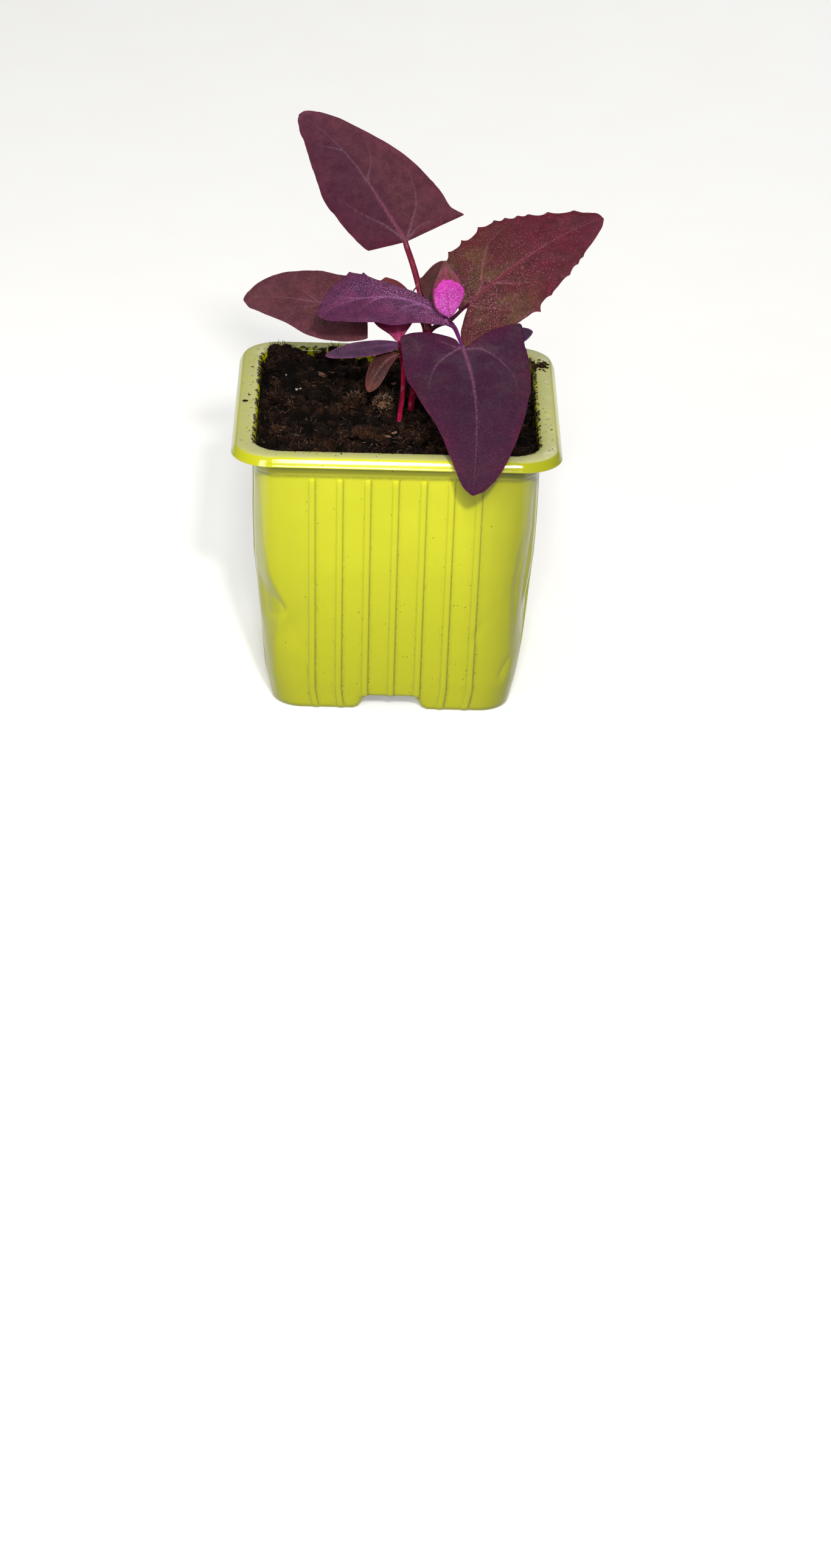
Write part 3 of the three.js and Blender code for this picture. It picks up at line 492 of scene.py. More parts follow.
def lattice(i, j, k, seed):
    wave = np.sin(i * 127.1 + j * 311.7 + k * 74.7 + seed * 19.3) * 43758.5453
    return wave - np.floor(wave)


def noise(points, size, seed=0):
    """Smooth noise from -1 to 1 in lumps of about that size"""
    points = np.asarray(points, float) / size
    cell = np.floor(points)
    f = points - cell
    f = f * f * (3 - 2 * f)
    total = 0
    for corner in range(8):
        step = np.array([corner & 1, corner >> 1 & 1, corner >> 2 & 1])
        weight = np.prod(np.where(step == 1, f, 1 - f), axis=-1)
        place = cell + step
        total = total + weight * lattice(place[..., 0], place[..., 1], place[..., 2], seed)
    return 2 * total - 1


def steps_of(line):
    """Lengths of the straight bits of a line"""
    return np.linalg.norm(np.diff(line, axis=0), axis=1)


def far_along(line):
    """Length of a line up to each of its points"""
    return np.concatenate([[0], np.cumsum(steps_of(line))])


def on_line(line, far, places):
    """Points of a line at places, where far is each given point's"""
    return np.stack([np.interp(places, far, line[:, axis]) for axis in range(line.shape[1])], -1)


def quarter_turns():
    """Cosine and sine of each quarter turn"""
    return [(math.cos(turn * math.pi / 2), math.sin(turn * math.pi / 2)) for turn in range(4)]


def srgb(code):
    """Linear colour of a hex code"""
    channels = [int(code[i:i + 2], 16) / 255 for i in (0, 2, 4)]
    linear = [c / 12.92 if c <= 0.04045 else ((c + 0.055) / 1.055) ** 2.4 for c in channels]
    return (*linear, 1)


# Meshes
def new_object(name, data):
    made = bpy.data.objects.new(name, data)
    bpy.context.scene.collection.objects.link(made)
    return made


class Body:
    """Points, faces and values a point, gathered for one mesh"""

    def __init__(self):
        self.points = []
        self.faces = []
        self.slots = []
        self.values = {}
        self.count = 0

    def add(self, points, faces, slot=0, **values):
        points = np.asarray(points, float)
        self.points.append(points)
        self.faces.extend((np.asarray(face) + self.count).tolist() for face in faces)
        self.slots.extend([slot] * len(faces))
        for name, value in values.items():
            old = self.values.setdefault(name, [])
            held = sum(len(part) for part in old)
            shape = points.shape if np.ndim(value) > 1 else len(points)
            wide = np.broadcast_to(np.asarray(value, float), shape)
            if held < self.count:
                old.append(np.zeros((self.count - held, *wide.shape[1:])))
            old.append(wide)
        self.count += len(points)

    def mesh(self, name):
        mesh = bpy.data.meshes.new(name)
        mesh.from_pydata((np.concatenate(self.points) * MM).tolist(), [], self.faces)
        return mesh

    def make(self, name, materials, replaces, slot):
        """Blender object of what was added, riding on the pot's body"""
        mesh = self.mesh(name)
        for material in materials:
            mesh.materials.append(material)
        mesh.polygons.foreach_set("material_index", self.slots)
        mesh.polygons.foreach_set("use_smooth", [True] * len(self.faces))
        for key, parts in self.values.items():
            data = np.concatenate(parts)
            data = np.concatenate([data, np.zeros((self.count - len(data), *data.shape[1:]))])
            kind, field = ("FLOAT", "value") if data.ndim == 1 else ("FLOAT_VECTOR", "vector")
            mesh.attributes.new(key, kind, "POINT").data.foreach_set(field, data.astype(np.float32).ravel())
        mesh.update()
        piece = new_object(name, mesh)
        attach(piece, BODY)
        if replaces:
            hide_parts(*replaces)
        return piece


def grid_faces(rows, columns, start=0, wrap=False, flip=False):
    """Quads of a grid of points, rows by columns, whose rows may close on themselves"""
    across = columns if wrap else columns - 1
    r, c = np.meshgrid(np.arange(rows - 1), np.arange(across), indexing="ij")
    a = start + r * columns + c
    b = start + r * columns + (c + 1) % columns
    quads = np.stack([a, b, b + columns, a + columns], -1).reshape(-1, 4)
    return quads[:, ::-1] if flip else quads


def smooth_path(points, step):
    """Points about a step apart on a centripetal Catmull-Rom curve"""
    p = np.asarray(points, float)
    p = np.vstack([2 * p[0] - p[1], p, 2 * p[-1] - p[-2]])
    fine = []
    for i in range(1, len(p) - 2):
        x0, x1, x2, x3 = p[i - 1:i + 3]
        spans = ((x0, x1), (x1, x2), (x2, x3))
        d0, d1, d2 = [max(np.linalg.norm(b - a) ** 0.5, 1e-6) for a, b in spans]
        m1 = ((x1 - x0) / d0 - (x2 - x0) / (d0 + d1) + (x2 - x1) / d1) * d1
        m2 = ((x2 - x1) / d1 - (x3 - x1) / (d1 + d2) + (x3 - x2) / d2) * d1
        t = np.linspace(0, 1, 24, endpoint=i == len(p) - 3)[:, None]
        square, cube = 3 * (x2 - x1) - 2 * m1 - m2, 2 * (x1 - x2) + m1 + m2
        fine.append(x1 + m1 * t + square * t ** 2 + cube * t ** 3)
    fine = np.concatenate(fine)
    far = far_along(fine)
    return on_line(fine, far, np.linspace(0, far[-1], max(3, int(round(far[-1] / step)) + 1)))


def tube_points(line, radii, face, sides, groove=0.0):
    """Rings round a line; face is the way its grooved upper side looks"""
    line = np.asarray(line, float)
    along = unit(np.gradient(line, axis=0))
    across = unit(np.cross(along, np.asarray(face, float)))
    up = unit(np.cross(across, along))
    angle = np.linspace(0, 2 * np.pi, sides, endpoint=False)
    dip = 1 - groove * np.exp(-(np.minimum(angle, 2 * np.pi - angle) / 0.45) ** 2)
    radii = np.broadcast_to(radii, len(line))[:, None]
    out_up = radii * dip * np.cos(angle)
    out_side = radii * np.sin(angle)
    rings = line[:, None] + out_up[..., None] * up[:, None] + out_side[..., None] * across[:, None]
    return rings.reshape(-1, 3)


def end_faces(rows, sides):
    """Faces that close both ends of rings"""
    last = (rows - 1) * sides
    return [list(range(sides)), list(range(last + sides - 1, last - 1, -1))]


def tube_faces(rows, sides):
    return grid_faces(rows, sides, wrap=True, flip=True).tolist() + end_faces(rows, sides)


# Materials
class Shader:
    """A node material; each call adds a node and gives its output. Colours may be given as hex codes"""

    def __init__(self, name):
        self.material = bpy.data.materials.new(name)
        self.material.use_nodes = True
        self.tree = self.material.node_tree
        self.tree.nodes.clear()

    def node(self, kind, inputs=None, output=0, **settings):
        made = self.tree.nodes.new(kind)
        for key, value in settings.items():
            setattr(made, key, value)
        for key, value in (inputs or {}).items():
            socket = made.inputs[key]
            if isinstance(value, bpy.types.NodeSocket):
                self.tree.links.new(value, socket)
            else:
                socket.default_value = srgb(value) if isinstance(value, str) else value
        return made.outputs[output]

    def value(self, name):
        return self.node("ShaderNodeAttribute", output="Fac", attribute_name=name)

    def vector(self, name):
        return self.node("ShaderNodeAttribute", output="Vector", attribute_name=name)

    def place(self):
        """Place on the object in millimetres"""
        return self.stretch(self.node("ShaderNodeTexCoord", output="Object"), (1 / MM,) * 3)

    def stretch(self, vector, scale):
        return self.node("ShaderNodeVectorMath", {0: vector, 1: scale}, operation="MULTIPLY")

    def noise(self, vector, size, detail=3.0, rough=0.55):
        inputs = {"Vector": vector, "Scale": 1 / size, "Detail": detail, "Roughness": rough}
        return self.node("ShaderNodeTexNoise", inputs, "Fac", noise_dimensions="3D")

    def cells(self, vector, size, output="Distance"):
        return self.node("ShaderNodeTexVoronoi", {"Vector": vector, "Scale": 1 / size}, output)

    def sum(self, operation, a, b=0.0):
        return self.node("ShaderNodeMath", {0: a, 1: b}, operation=operation)

    def times(self, a, b):
        return self.sum("MULTIPLY", a, b)

    def plus(self, a, b):
        return self.sum("ADD", a, b)

    def minus(self, a, b):
        return self.sum("SUBTRACT", a, b)

    def ramp(self, value, low, high, start=0.0, end=1.0):
        """Smooth change from start at low to end at high"""
        inputs = {"Value": value, "From Min": low, "From Max": high, "To Min": start, "To Max": end}
        return self.node("ShaderNodeMapRange", inputs, interpolation_type="SMOOTHSTEP")

    def mix(self, share, a, b):
        """Colour a where share is 0 and b where it is 1"""
        return self.node("ShaderNodeMix", {0: share, 6: a, 7: b}, 2, data_type="RGBA")

    def axis(self, vector, name):
        return self.node("ShaderNodeSeparateXYZ", {0: vector}, name)

    def bump(self, height, distance, strength=1.0, normal=None):
        inputs = {"Height": height, "Distance": distance * MM, "Strength": strength}
        if normal:
            inputs["Normal"] = normal
        return self.node("ShaderNodeBump", inputs)

    def finish(self, colour, rough, gloss, bump=None, glow=0.0):
        """The material, with its colour, roughness, gloss, bump and share of light of its own"""
        inputs = {"Base Color": colour, "Roughness": rough, "Specular IOR Level": gloss}
        if bump:
            inputs["Normal"] = bump
        if glow:
            inputs |= {"Emission Color": colour, "Emission Strength": glow}
        surface = self.node("ShaderNodeBsdfPrincipled", inputs)
        out = self.tree.nodes.new("ShaderNodeOutputMaterial")
        self.tree.links.new(surface, out.inputs["Surface"])
        return self.material


def leaf_material(name, look):
    """Leaf skin: mottled colour, veins, a fine net between them, mealy dots and a paler underside"""
    s = Shader(name)
    flat = s.vector("plane")
    along = s.value("along")
    vein = s.value("vein")
    margin = s.value("margin")
    fine = s.noise(flat, 1.3, 5.0, 0.65)
    colour = s.mix(s.ramp(s.noise(flat, 9.0), 0.35, 0.65), look["blade"], look["patch"])
    base = look["base"]
    if "base_patch" in look:
        base = s.mix(s.ramp(s.noise(flat, 6.5), 0.42, 0.6), base, look["base_patch"])
    colour = s.mix(s.ramp(along, look["base_reach"], -0.05, 0.0, look["base_share"]), colour, base)
    if "half" in look:
        colour = s.mix(s.ramp(s.axis(flat, "Y"), -1.5, 5.0, 0.0, 0.6), colour, look["half"])
    tip = s.ramp(along, look["tip_from"], look["tip_to"], 0.0, look["tip_share"])
    colour = s.mix(tip, colour, look["tip"])
    uneven = s.ramp(s.noise(flat, 5.0), 0.3, 0.7, 0.2, look["glow"])
    colour = s.mix(s.times(s.value("glow"), uneven), colour, look["margin"])
    colour = s.mix(s.ramp(margin, 0.15, 0.95, 0.0, 0.65), colour, look["margin"])
    mottle = s.noise(flat, 3.4, 4.0, 0.6)
    grain = s.noise(flat, 0.3, 3.0, 0.65)
    for pattern, low, high, share, shade in (
        (mottle, 0.35, 0.7, look["mottle"], "dark"),
        (fine, 0.35, 0.7, 0.4, "dark"),
        (grain, 0.5, 0.36, 0.45, "dark"),
        (grain, 0.56, 0.7, 0.3, "vein"),
    ):
        colour = s.mix(s.ramp(pattern, low, high, 0.0, share), colour, look[shade])
    if "hood" in look:
        hood = s.mix(s.ramp(s.noise(flat, 1.2, 4.0), 0.42, 0.58), look["hood"], look["hood_patch"])
        hood = s.mix(s.ramp(margin, 0.4, 0.95), hood, look["hood_edge"])
        colour = s.mix(s.ramp(s.value("hood"), 0.1, 0.6), colour, hood)
    broken = s.times(vein, s.ramp(s.noise(flat, 0.7, 4.0, 0.7), 0.3, 0.65, 0.35, 1.0))
    colour = s.mix(s.ramp(broken, 0.08, 0.85, 0.0, look["vein_share"]), colour, look["vein"])
    colour = s.mix(s.times(s.value("core"), look["core_share"]), colour, look["core"])
    down = s.noise(flat, look["down_size"], 2.0, 0.6)
    mealy = s.sum("MINIMUM", s.times(s.value("mealy"), 1.3), 1.0)
    dots = s.times(s.ramp(down, look["dot_low"], look["dot_low"] + 0.14), mealy)
    colour = s.mix(s.times(dots, look["dot_share"]), colour, look["dots"])
    below = s.mix(s.ramp(fine, 0.3, 0.7), look["under"], look["under_dark"])
    below = s.mix(s.ramp(vein, 0.12, 0.9, 0.0, 0.7), below, look["under_vein"])
    colour = s.mix(s.value("upper"), below, colour)
    rough = s.ramp(fine, 0.25, 0.75, look["rough"] - 0.06, look["rough"] + 0.08)
    beads = s.plus(s.times(s.cells(flat, 0.3), 0.6), s.times(dots, 1.2))
    bump = s.bump(s.noise(flat, 1.1), 0.09, 0.6, s.bump(beads, 0.05, 0.7))
    return s.finish(colour, rough, look["specular"], bump)


def granule_material(name, pale, deep):
    """Mealy bladder cells: tiny glassy beads, no two quite alike"""
    s = Shader(name)
    share = s.node("ShaderNodeSeparateColor", {0: s.cells(s.place(), 0.35, "Color")}, "Green")
    return s.finish(s.mix(share, pale, deep), s.ramp(share, 0, 1, 0.2, 0.45), 0.6)


def stalk_material(name, deep, bright, streak):
    """Stalk skin: crimson with long darker and paler streaks"""
    s = Shader(name)
    run = s.vector("plane")
    streaks = s.noise(s.stretch(run, (0.12, 2.2, 2.2)), 1.0)
    mottle = s.noise(run, 1.6, 4.0)
    colour = s.mix(s.ramp(streaks, 0.38, 0.66), deep, bright)
    colour = s.mix(s.ramp(mottle, 0.54, 0.74, 0.0, 0.5), colour, streak)
    colour = s.mix(s.ramp(s.value("upper"), 0.2, 1.0, 0.0, 0.5), colour, deep)
    colour = s.mix(s.ramp(s.value("along"), 0.7, 0.82), colour, STEM_TOP)
    bump = s.bump(s.plus(streaks, s.times(s.cells(run, 0.22), 0.3)), 0.06, 0.6)
    return s.finish(colour, s.ramp(mottle, 0.3, 0.7, 0.32, 0.48), 0.22, bump)


def pot_material():
    """Lime plastic: dust on its rim, dirt along its ribs, specks, stains, fine scuffs, painted crease and
    corner shade
    """
    s = Shader("pot_plastic")
    place = s.place()
    height = s.axis(place, "Z")
    dirt = s.value("dirt")
    fine = s.noise(place, 0.9, 5.0, 0.65)
    lime = s.mix(s.ramp(height, 4, 70), "bebf0b", "d5d61a")
    lime = s.mix(s.ramp(s.noise(place, 16.0), 0.4, 0.7, 0.0, 0.3), lime, "c4c50c")
    # Painted shade: the wall darkens towards its side corners, more on the right than on the left
    lime = s.mix(s.times(s.value("side"), 0.6), lime, "a6a80c")
    upward = s.axis(s.node("ShaderNodeNewGeometry", output="Normal"), "Z")
    top = s.times(s.ramp(upward, 0.72, 0.96), s.ramp(height, 77.2, 78.6))
    dust = s.times(top, s.ramp(s.noise(place, 5.0, 5.0, 0.7), 0.2, 0.7, 0.45, 0.95))
    lime = s.mix(dust, lime, "c3c386")
    # Painted shade: dark olive along the ribs' right flanks and in the creases under the rim, round the
    # collar and at the foot
    lime = s.mix(s.times(s.value("crease_shade"), s.ramp(fine, 0.25, 0.6, 0.35, 0.85)), lime, "5f6207")
    pick = s.node("ShaderNodeSeparateColor", {0: s.cells(place, 1.05, "Color")}, "Red")
    share = s.plus(s.times(dirt, 0.42), s.plus(0.012, s.times(top, 0.02)))
    speck = s.ramp(s.plus(s.cells(place, 1.05), s.times(fine, 0.35)), 0.36, 0.28)
    lime = s.mix(s.times(s.times(s.sum("LESS_THAN", pick, share), speck), 0.85), lime, "2c2a10")
    runs = s.noise(s.stretch(place, (1, 1, 0.25)), 0.7, 5.0, 0.7)
    lime = s.mix(s.times(dirt, s.ramp(runs, 0.5, 0.72, 0.0, 0.4)), lime, "6d6b14")
    stain = s.plus(s.value("stain"), s.times(s.noise(place, 1.9, 6.0, 0.72), 1.3))
    soiled = s.mix(s.ramp(fine, 0.35, 0.65), "3a3212", "1c130b")
    lime = s.mix(s.ramp(stain, 1.08, 1.16), lime, soiled)
    scuff = s.noise(s.stretch(place, (2.6, 2.6, 0.12)), 1.0, 4.0, 0.7)
    wet = s.ramp(s.noise(place, 3.4), 0.52, 0.62, 1.0, 0.35)
    rough = s.plus(s.ramp(scuff, 0.35, 0.7, 0.1, 0.18), s.times(s.times(dust, 0.4), wet))
    shine = s.ramp(s.value("corner"), 0.0, 1.0, 0.34, 0.95)
    bump = s.bump(s.noise(place, 5.0, 2.0), 0.1, 0.3, s.bump(s.noise(place, 0.5), 0.006, 0.5))
    return s.finish(lime, rough, shine, bump)


# Colours of peat from its darkest to its palest
PEAT = [
    (0.0, "050302"), (0.22, "180e08"), (0.4, "331e13"), (0.56, "5c3d2b"), (0.68, "8a5c42"), (0.8, "a88e74"),
    (1.0, "e8e2d0"),
]


def soil_material():
    """Moist peat; each bit's tone runs from black through brown and tan to white; on the bed it holds painted
    shade and light
    """
    s = Shader("soil")
    place = s.place()
    fine = s.noise(place, 0.42, 5.0, 0.7)
    thread = s.sum("ABSOLUTE", s.minus(s.noise(place, 1.1, 3.0, 0.6), 0.5))
    tone = s.plus(s.value("tone"), s.times(s.minus(fine, 0.54), 0.7))
    tone = s.plus(tone, s.ramp(thread, 0.035, 0.0, 0.0, 0.2))
    colour = s.node("ShaderNodeValToRGB", {0: tone})
    band = colour.node.color_ramp.elements
    band[0].color, band[1].color = srgb(PEAT[0][1]), srgb(PEAT[-1][1])
    for position, code in PEAT[1:-1]:
        band.new(position).color = srgb(code)
    bump = s.bump(s.minus(fine, s.times(thread, 2.0)), 0.6)
    return s.finish(colour, s.ramp(s.noise(place, 1.8), 0.3, 0.7, 0.6, 0.95), 0.12, bump)


# Pot
def wall_half(z):
    heights, halves = zip(*WALL_PROFILE)
    return np.interp(z, heights, halves)


def side_places(pitch, reach):
    """Places along one side of the wall from its middle to where its corners start: closer on the ribs"""
    places = []
    for i in range(RIB_COUNT):
        middle = (i - (RIB_COUNT - 1) / 2) * pitch
        places += [middle + across for across, _ in RIB_SECTION]
        if i + 1 < RIB_COUNT:
            places += [middle + share * pitch for share in (0.3, 0.5, 0.7)]
    outer = places[-1]
    ends = [mix(outer, reach, share) for share in (0.25, 0.5, 0.75)]
    return [-place for place in reversed(ends)] + places + ends


def rib_shares():
    """Share of the rib's height, of the dirt and of the painted crease shade at each of those places"""
    rib, dirt, crease_shade = [], [], []
    for i in range(RIB_COUNT):
        rib += [share for _, share in RIB_SECTION]
        dirt += RIB_DIRT
        crease_shade += RIB_CREASE_SHADE
        if i + 1 < RIB_COUNT:
            rib += [0, 0, 0]
            dirt += DIRT_BETWEEN_RIBS
            crease_shade += [0, 0, 0]
    ends = [0, 0, 0]
    return [np.array(ends + row + ends, float) for row in (rib, dirt, crease_shade)]


def square_ring(half, corner, z, pitch, rib_height):
    """Points of a square with round corners and ribs at one height"""
    rib, _, _ = rib_shares()
    inset = half - corner
    pitch = min(pitch, (inset - 0.4) / (RIB_COUNT / 2))
    along = np.array(side_places(pitch, inset))
    out = half + rib * rib_height
    angle = np.linspace(0, np.pi / 2, CORNER_STEPS)
    along = np.concatenate([along, inset + corner * np.sin(angle)])
    out = np.concatenate([out, inset + corner * np.cos(angle)])
    ring = []
    for c, s in quarter_turns():
        ring.append(np.stack([along * c + out * s, along * s - out * c, np.full(len(along), float(z))], -1))
    return np.concatenate(ring)


def ring_values():
    """Dirt and painted crease shade round a ring"""
    _, dirt, crease_shade = rib_shares()
    ends = np.zeros(CORNER_STEPS)
    return [np.tile(np.concatenate([row, ends]), 4) for row in (dirt, crease_shade)]


# Dents in the thin wall: side turned by quarter turns from the front, place along it and height, reach along
# and up, lean and depth
DENTS = [
    (0, 34, 44, 3.4, 19, 0.14, 0.8),
    (0, 24.5, 27.5, 1.1, 5, 0.5, 0.35),
    (0, -27.5, 26.5, 4.4, 6, 0.3, 0.5),
    (0, -25.5, 22, 0.9, 5, -0.5, 0.3),
    (1, -30, 30, 6, 12, 0.2, 0.9),
    (2, 12, 38, 9, 14, 0.3, 0.5),
    (3, 22, 26, 7, 12, -0.2, 0.6),
]
# Creased corners of the front: end of the wall, slope, and how far in from the corner the crease runs at
# each height
CREASES = [
    (-1, 0.8, [
        (4, 2), (15, 3), (23, 4.4), (27.4, 5.7), (31.7, 8.8), (40.7, 4.6), (51.9, 2.8), (62, 2.2), (72, 1.6),
    ]),
    (1, 0.6, [
        (4, 1.4), (13, 2), (21, 3.8), (32, 5.3), (39.4, 5.9), (49.5, 5), (58.7, 2.8), (66, 2.2), (72, 1.6),
    ]),
]
# Long grooves in the right front corner: distance in from the corner at each height, half width and depth
GROOVES = [
    ([(20, -0.5), (24, 0.4), (35, 2.1), (42.4, 2.0), (56.5, 1.2), (72.5, 1.2)], 0.34, 0.55),
    ([(16, -0.5), (24, -0.2), (35, 1.1), (42.4, 1.1), (56.5, 0.5), (72.5, 0.6)], 0.3, -0.35),
    ([(24, 3.2), (33.5, 4.1), (43, 4.8), (50, 3.4), (56, 2.4)], 0.26, 0.34),
    ([(26, 2.6), (33.5, 3.2), (43, 3.7), (52, 2.4), (60, 1.9)], 0.3, -0.22),
    ([(9, 5.2), (13.4, 4.8), (18, 3.0), (19.5, 0.8), (21, -0.5)], 0.5, 0.5),
    ([(7, 3.4), (12, 3.0), (15.5, 1.6), (17, 0.2)], 0.6, -0.4),
]


def dented(points, depth_share=1.0):
    """Wall points pressed in at each dent"""
    points = points.copy()
    for turn, along, z, reach, rise, lean, depth in DENTS:
        c, s = quarter_turns()[turn]
        u = points[:, 0] * c + points[:, 1] * s
        out = points[:, 0] * s - points[:, 1] * c
        w = points[:, 2] - z
        across = (u - along) - lean * w
        weight = np.exp(-(across / reach) ** 2 - (w / rise) ** 2) * ramp(22, 30, out)
        weight *= ramp(COLLAR_BOTTOM_Z - 1, COLLAR_BOTTOM_Z - 12, points[:, 2]) * ramp(0, 6, points[:, 2])
        inward = np.stack([-points[:, 0], -points[:, 1]], -1)
        facing = np.stack([np.full(len(points), -s), np.full(len(points), c)], -1)
        push = unit(facing * 0.75 + unit(inward) * 0.25)
        points[:, :2] += push * (weight * depth * depth_share)[:, None]
    z, half = points[:, 2], wall_half(points[:, 2])
    front = ramp(25, 31, -points[:, 1]) * ramp(COLLAR_BOTTOM_Z - 1, COLLAR_BOTTOM_Z - 9, z) * ramp(0, 5, z)
    for end, slope, line in CREASES:
        bound = np.interp(z, *zip(*line))
        beyond = np.clip(bound - (half - end * points[:, 0]), 0, 4.2)
        points[:, 1] += slope * depth_share * beyond * front
    inset = half - points[:, 0]
    for line, width, depth in GROOVES:
        heights, places = zip(*line)
        near = np.exp(-((inset - np.interp(z, heights, places)) / width) ** 2)
        ends = ramp(heights[0], heights[0] + 5, z) * ramp(heights[-1], heights[-1] - 5, z)
        points[:, 1] += depth * depth_share * near * ends * front
    return points


def notch_lift(points, half):
    """How far the recess in the middle of each side lifts the pot's underside at a place"""
    x, y = np.abs(points[:, 0]), np.abs(points[:, 1])
    lift = np.zeros(len(points))
    for along, out in ((x, y), (y, x)):
        width = 1 - ramp(NOTCH_TOP_WIDTH / 2 - 0.4, NOTCH_BASE_WIDTH / 2, along)
        depth = ramp(half - NOTCH_DEPTH - 0.8, half - NOTCH_DEPTH + 0.8, out)
        lift = np.maximum(lift, width * depth)
    return NOTCH_HEIGHT * lift


def make_pot():
    """One closed skin: from the middle of the floor inside, up, over the rim, down and in under the base"""
    rings = []

    def ring(half, corner, z, ribs=0.0, dirt=0.0, crease_shade=0.0, dent=0.0, lifted=0.0, stain=0.0):
        pitch = RIB_PITCH * mix(RIB_PITCH_AT_BASE, 1, min(1, z / POT_HEIGHT))
        points = square_ring(half, corner, z, pitch, RIB_HEIGHT * ribs)
        if dent:
            points = dented(points, dent)
        if lifted:
            points[:, 2] += notch_lift(points, wall_half(0)) * lifted
        rings.append((points, dirt, crease_shade, stain))

    inner = WALL_THICKNESS
    for half in FLOOR_RINGS:
        ring(half, min(half * FLOOR_ROUNDNESS, WALL_CORNER), inner, lifted=1.0)
    for z in INNER_RINGS:
        ring(wall_half(z) - inner, WALL_CORNER - inner, z, dent=INNER_DENTS, lifted=1 - ramp(2, 9, z))
    ring(COLLAR_HALF - inner - 0.25, WALL_CORNER - inner, COLLAR_BOTTOM_Z)
    for z, stain in COLLAR_STAINS:
        ring(COLLAR_HALF - inner, WALL_CORNER - inner, z, stain=stain)
    for inset, z in RIM_PROFILE:
        corner = mix(RIM_CORNER, WALL_CORNER, min(1.15, inset / COLLAR_INSET))
        stain = 0.5 * ramp(COLLAR_INSET - 1.3, COLLAR_INSET + 0.1, inset)
        ring(RIM_HALF - inset, corner, z, dirt=RIM_DIRT, stain=stain)
    for z, out, dark in COLLAR_PROFILE:
        ring(COLLAR_HALF + out, WALL_CORNER + out, z, dirt=COLLAR_DIRT, crease_shade=dark)
    for z in WALL_RINGS:
        ring(wall_half(z), WALL_CORNER, z, ramp(72.0, 70.9, z), 1.0, 1.0, 1.0, 0.92 * ramp(5.2, 1.0, z))
    for inset, z in FOOT_PROFILE:
        ribs = 1 - inset / FOOT_PROFILE[-1][0]
        ring(wall_half(z) - inset, WALL_CORNER - inset, z, ribs, FOOT_DIRT, FOOT_CREASE_SHADE, lifted=1.0)
    for half in BASE_RINGS:
        ring(half, min(half * FLOOR_ROUNDNESS, WALL_CORNER), 0, lifted=1.0)
    dirt_round, crease_shade_round = ring_values()
    count = len(dirt_round)
    points = np.concatenate([points for points, *_ in rings])
    x, y, z = np.abs(points).T
    low = 1 - ramp(8, 60, z)
    dirt = np.concatenate([dirt_round * dirt for _, dirt, _, _ in rings]) * (0.25 + 0.75 * low)
    # Painted crease shade, stronger low on the wall
    crease_shade = [crease_shade_round if crease_shade == 1 else np.full(count, crease_shade) for _, _, crease_shade, _ in rings]
    crease_shade = np.concatenate(crease_shade) * (0.55 + 0.3 * low)
    stain = np.repeat([stain for *_, stain in rings], count)
    # side: how much painted shade the wall gets towards its side corners, less on the left, more on the right
    side = ramp(17, 34, np.minimum(x, y)) * np.where(points[:, 0] < 0, 0.5, 1.6)
    corner = ramp(33.5, 36.5, np.minimum(x, y + 3))
    values = {"dirt": dirt, "crease_shade": crease_shade, "stain": stain, "side": side, "corner": corner}
    body = Body()
    body.add(points, tube_faces(len(rings), count), **values)
    pot = body.make("pot_shell", [pot_material()], ["pot"], "pot_plastic")
    cut_drains(pot)


def cut_drains(pot):
    """Four water holes through the floor"""
    cutter = Body()
    sides = DRAIN_SIDES
    angle = np.linspace(0, 2 * np.pi, sides, endpoint=False)
    circle = np.stack([np.cos(angle), np.sin(angle)], -1) * DRAIN_RADIUS
    faces = grid_faces(2, sides, wrap=True).tolist()
    faces += [list(range(sides - 1, -1, -1)), list(range(sides, 2 * sides))]
    for x, y in ((1, 1), (-1, 1), (-1, -1), (1, -1)):
        low = np.column_stack([circle + [x * DRAIN_PLACE, y * DRAIN_PLACE], np.full(sides, -1.0)])
        cutter.add(np.vstack([low, low + [0, 0, 3]]), faces)
    tool = new_object("drains", cutter.mesh("drains"))
    cut = pot.modifiers.new("drains", "BOOLEAN")
    cut.object = tool
    cut.operation = "DIFFERENCE"
    cut.solver = "MANIFOLD"
    bpy.context.view_layer.objects.active = pot
    bpy.ops.object.modifier_apply(modifier=cut.name)
    bpy.data.objects.remove(tool)


# Leaves
def bezier(points, t):
    """Place and slope on a cubic Bezier curve"""
    a, b, c, d = np.asarray(points, float)
    t = np.asarray(t, float)[..., None]
    r = 1 - t
    place = r ** 3 * a + 3 * r * r * t * b + 3 * r * t * t * c + t ** 3 * d
    slope = 3 * r * r * (b - a) + 6 * r * t * (c - b) + 3 * t * t * (d - c)
    return place, slope


def outline_at(points, t):
    """Outline point from 0 to 1 along one side, as in the solid model"""
    p = np.asarray(points, float)
    last = len(p) - 1
    k = np.minimum(last - 1, np.floor(t * last)).astype(int)
    f = (t * last - k)[:, None]
    a, b, c, d = (p[np.clip(k + step, 0, last)] for step in (-1, 0, 1, 2))
    m0 = (c - a) / 2
    m1 = (d - b) / 2
    return b + m0 * f + (3 * (c - b) - 2 * m0 - m1) * f ** 2 + (2 * (b - c) + m0 + m1) * f ** 3


def margin_at(leaf, side, t):
    """Outline with its teeth"""
    edge = outline_at(leaf[side], t)
    cusp = np.zeros(len(t))
    for place, height in leaf["teeth"].get(side, []):
        near = np.maximum(0, 1 - np.abs(t - place) / TOOTH_HALF_WIDTH)
        cusp = np.maximum(cusp, TOOTH_RISE * height * near ** TOOTH_POINT)
    return edge + np.stack([np.zeros(len(t)), cusp], -1)


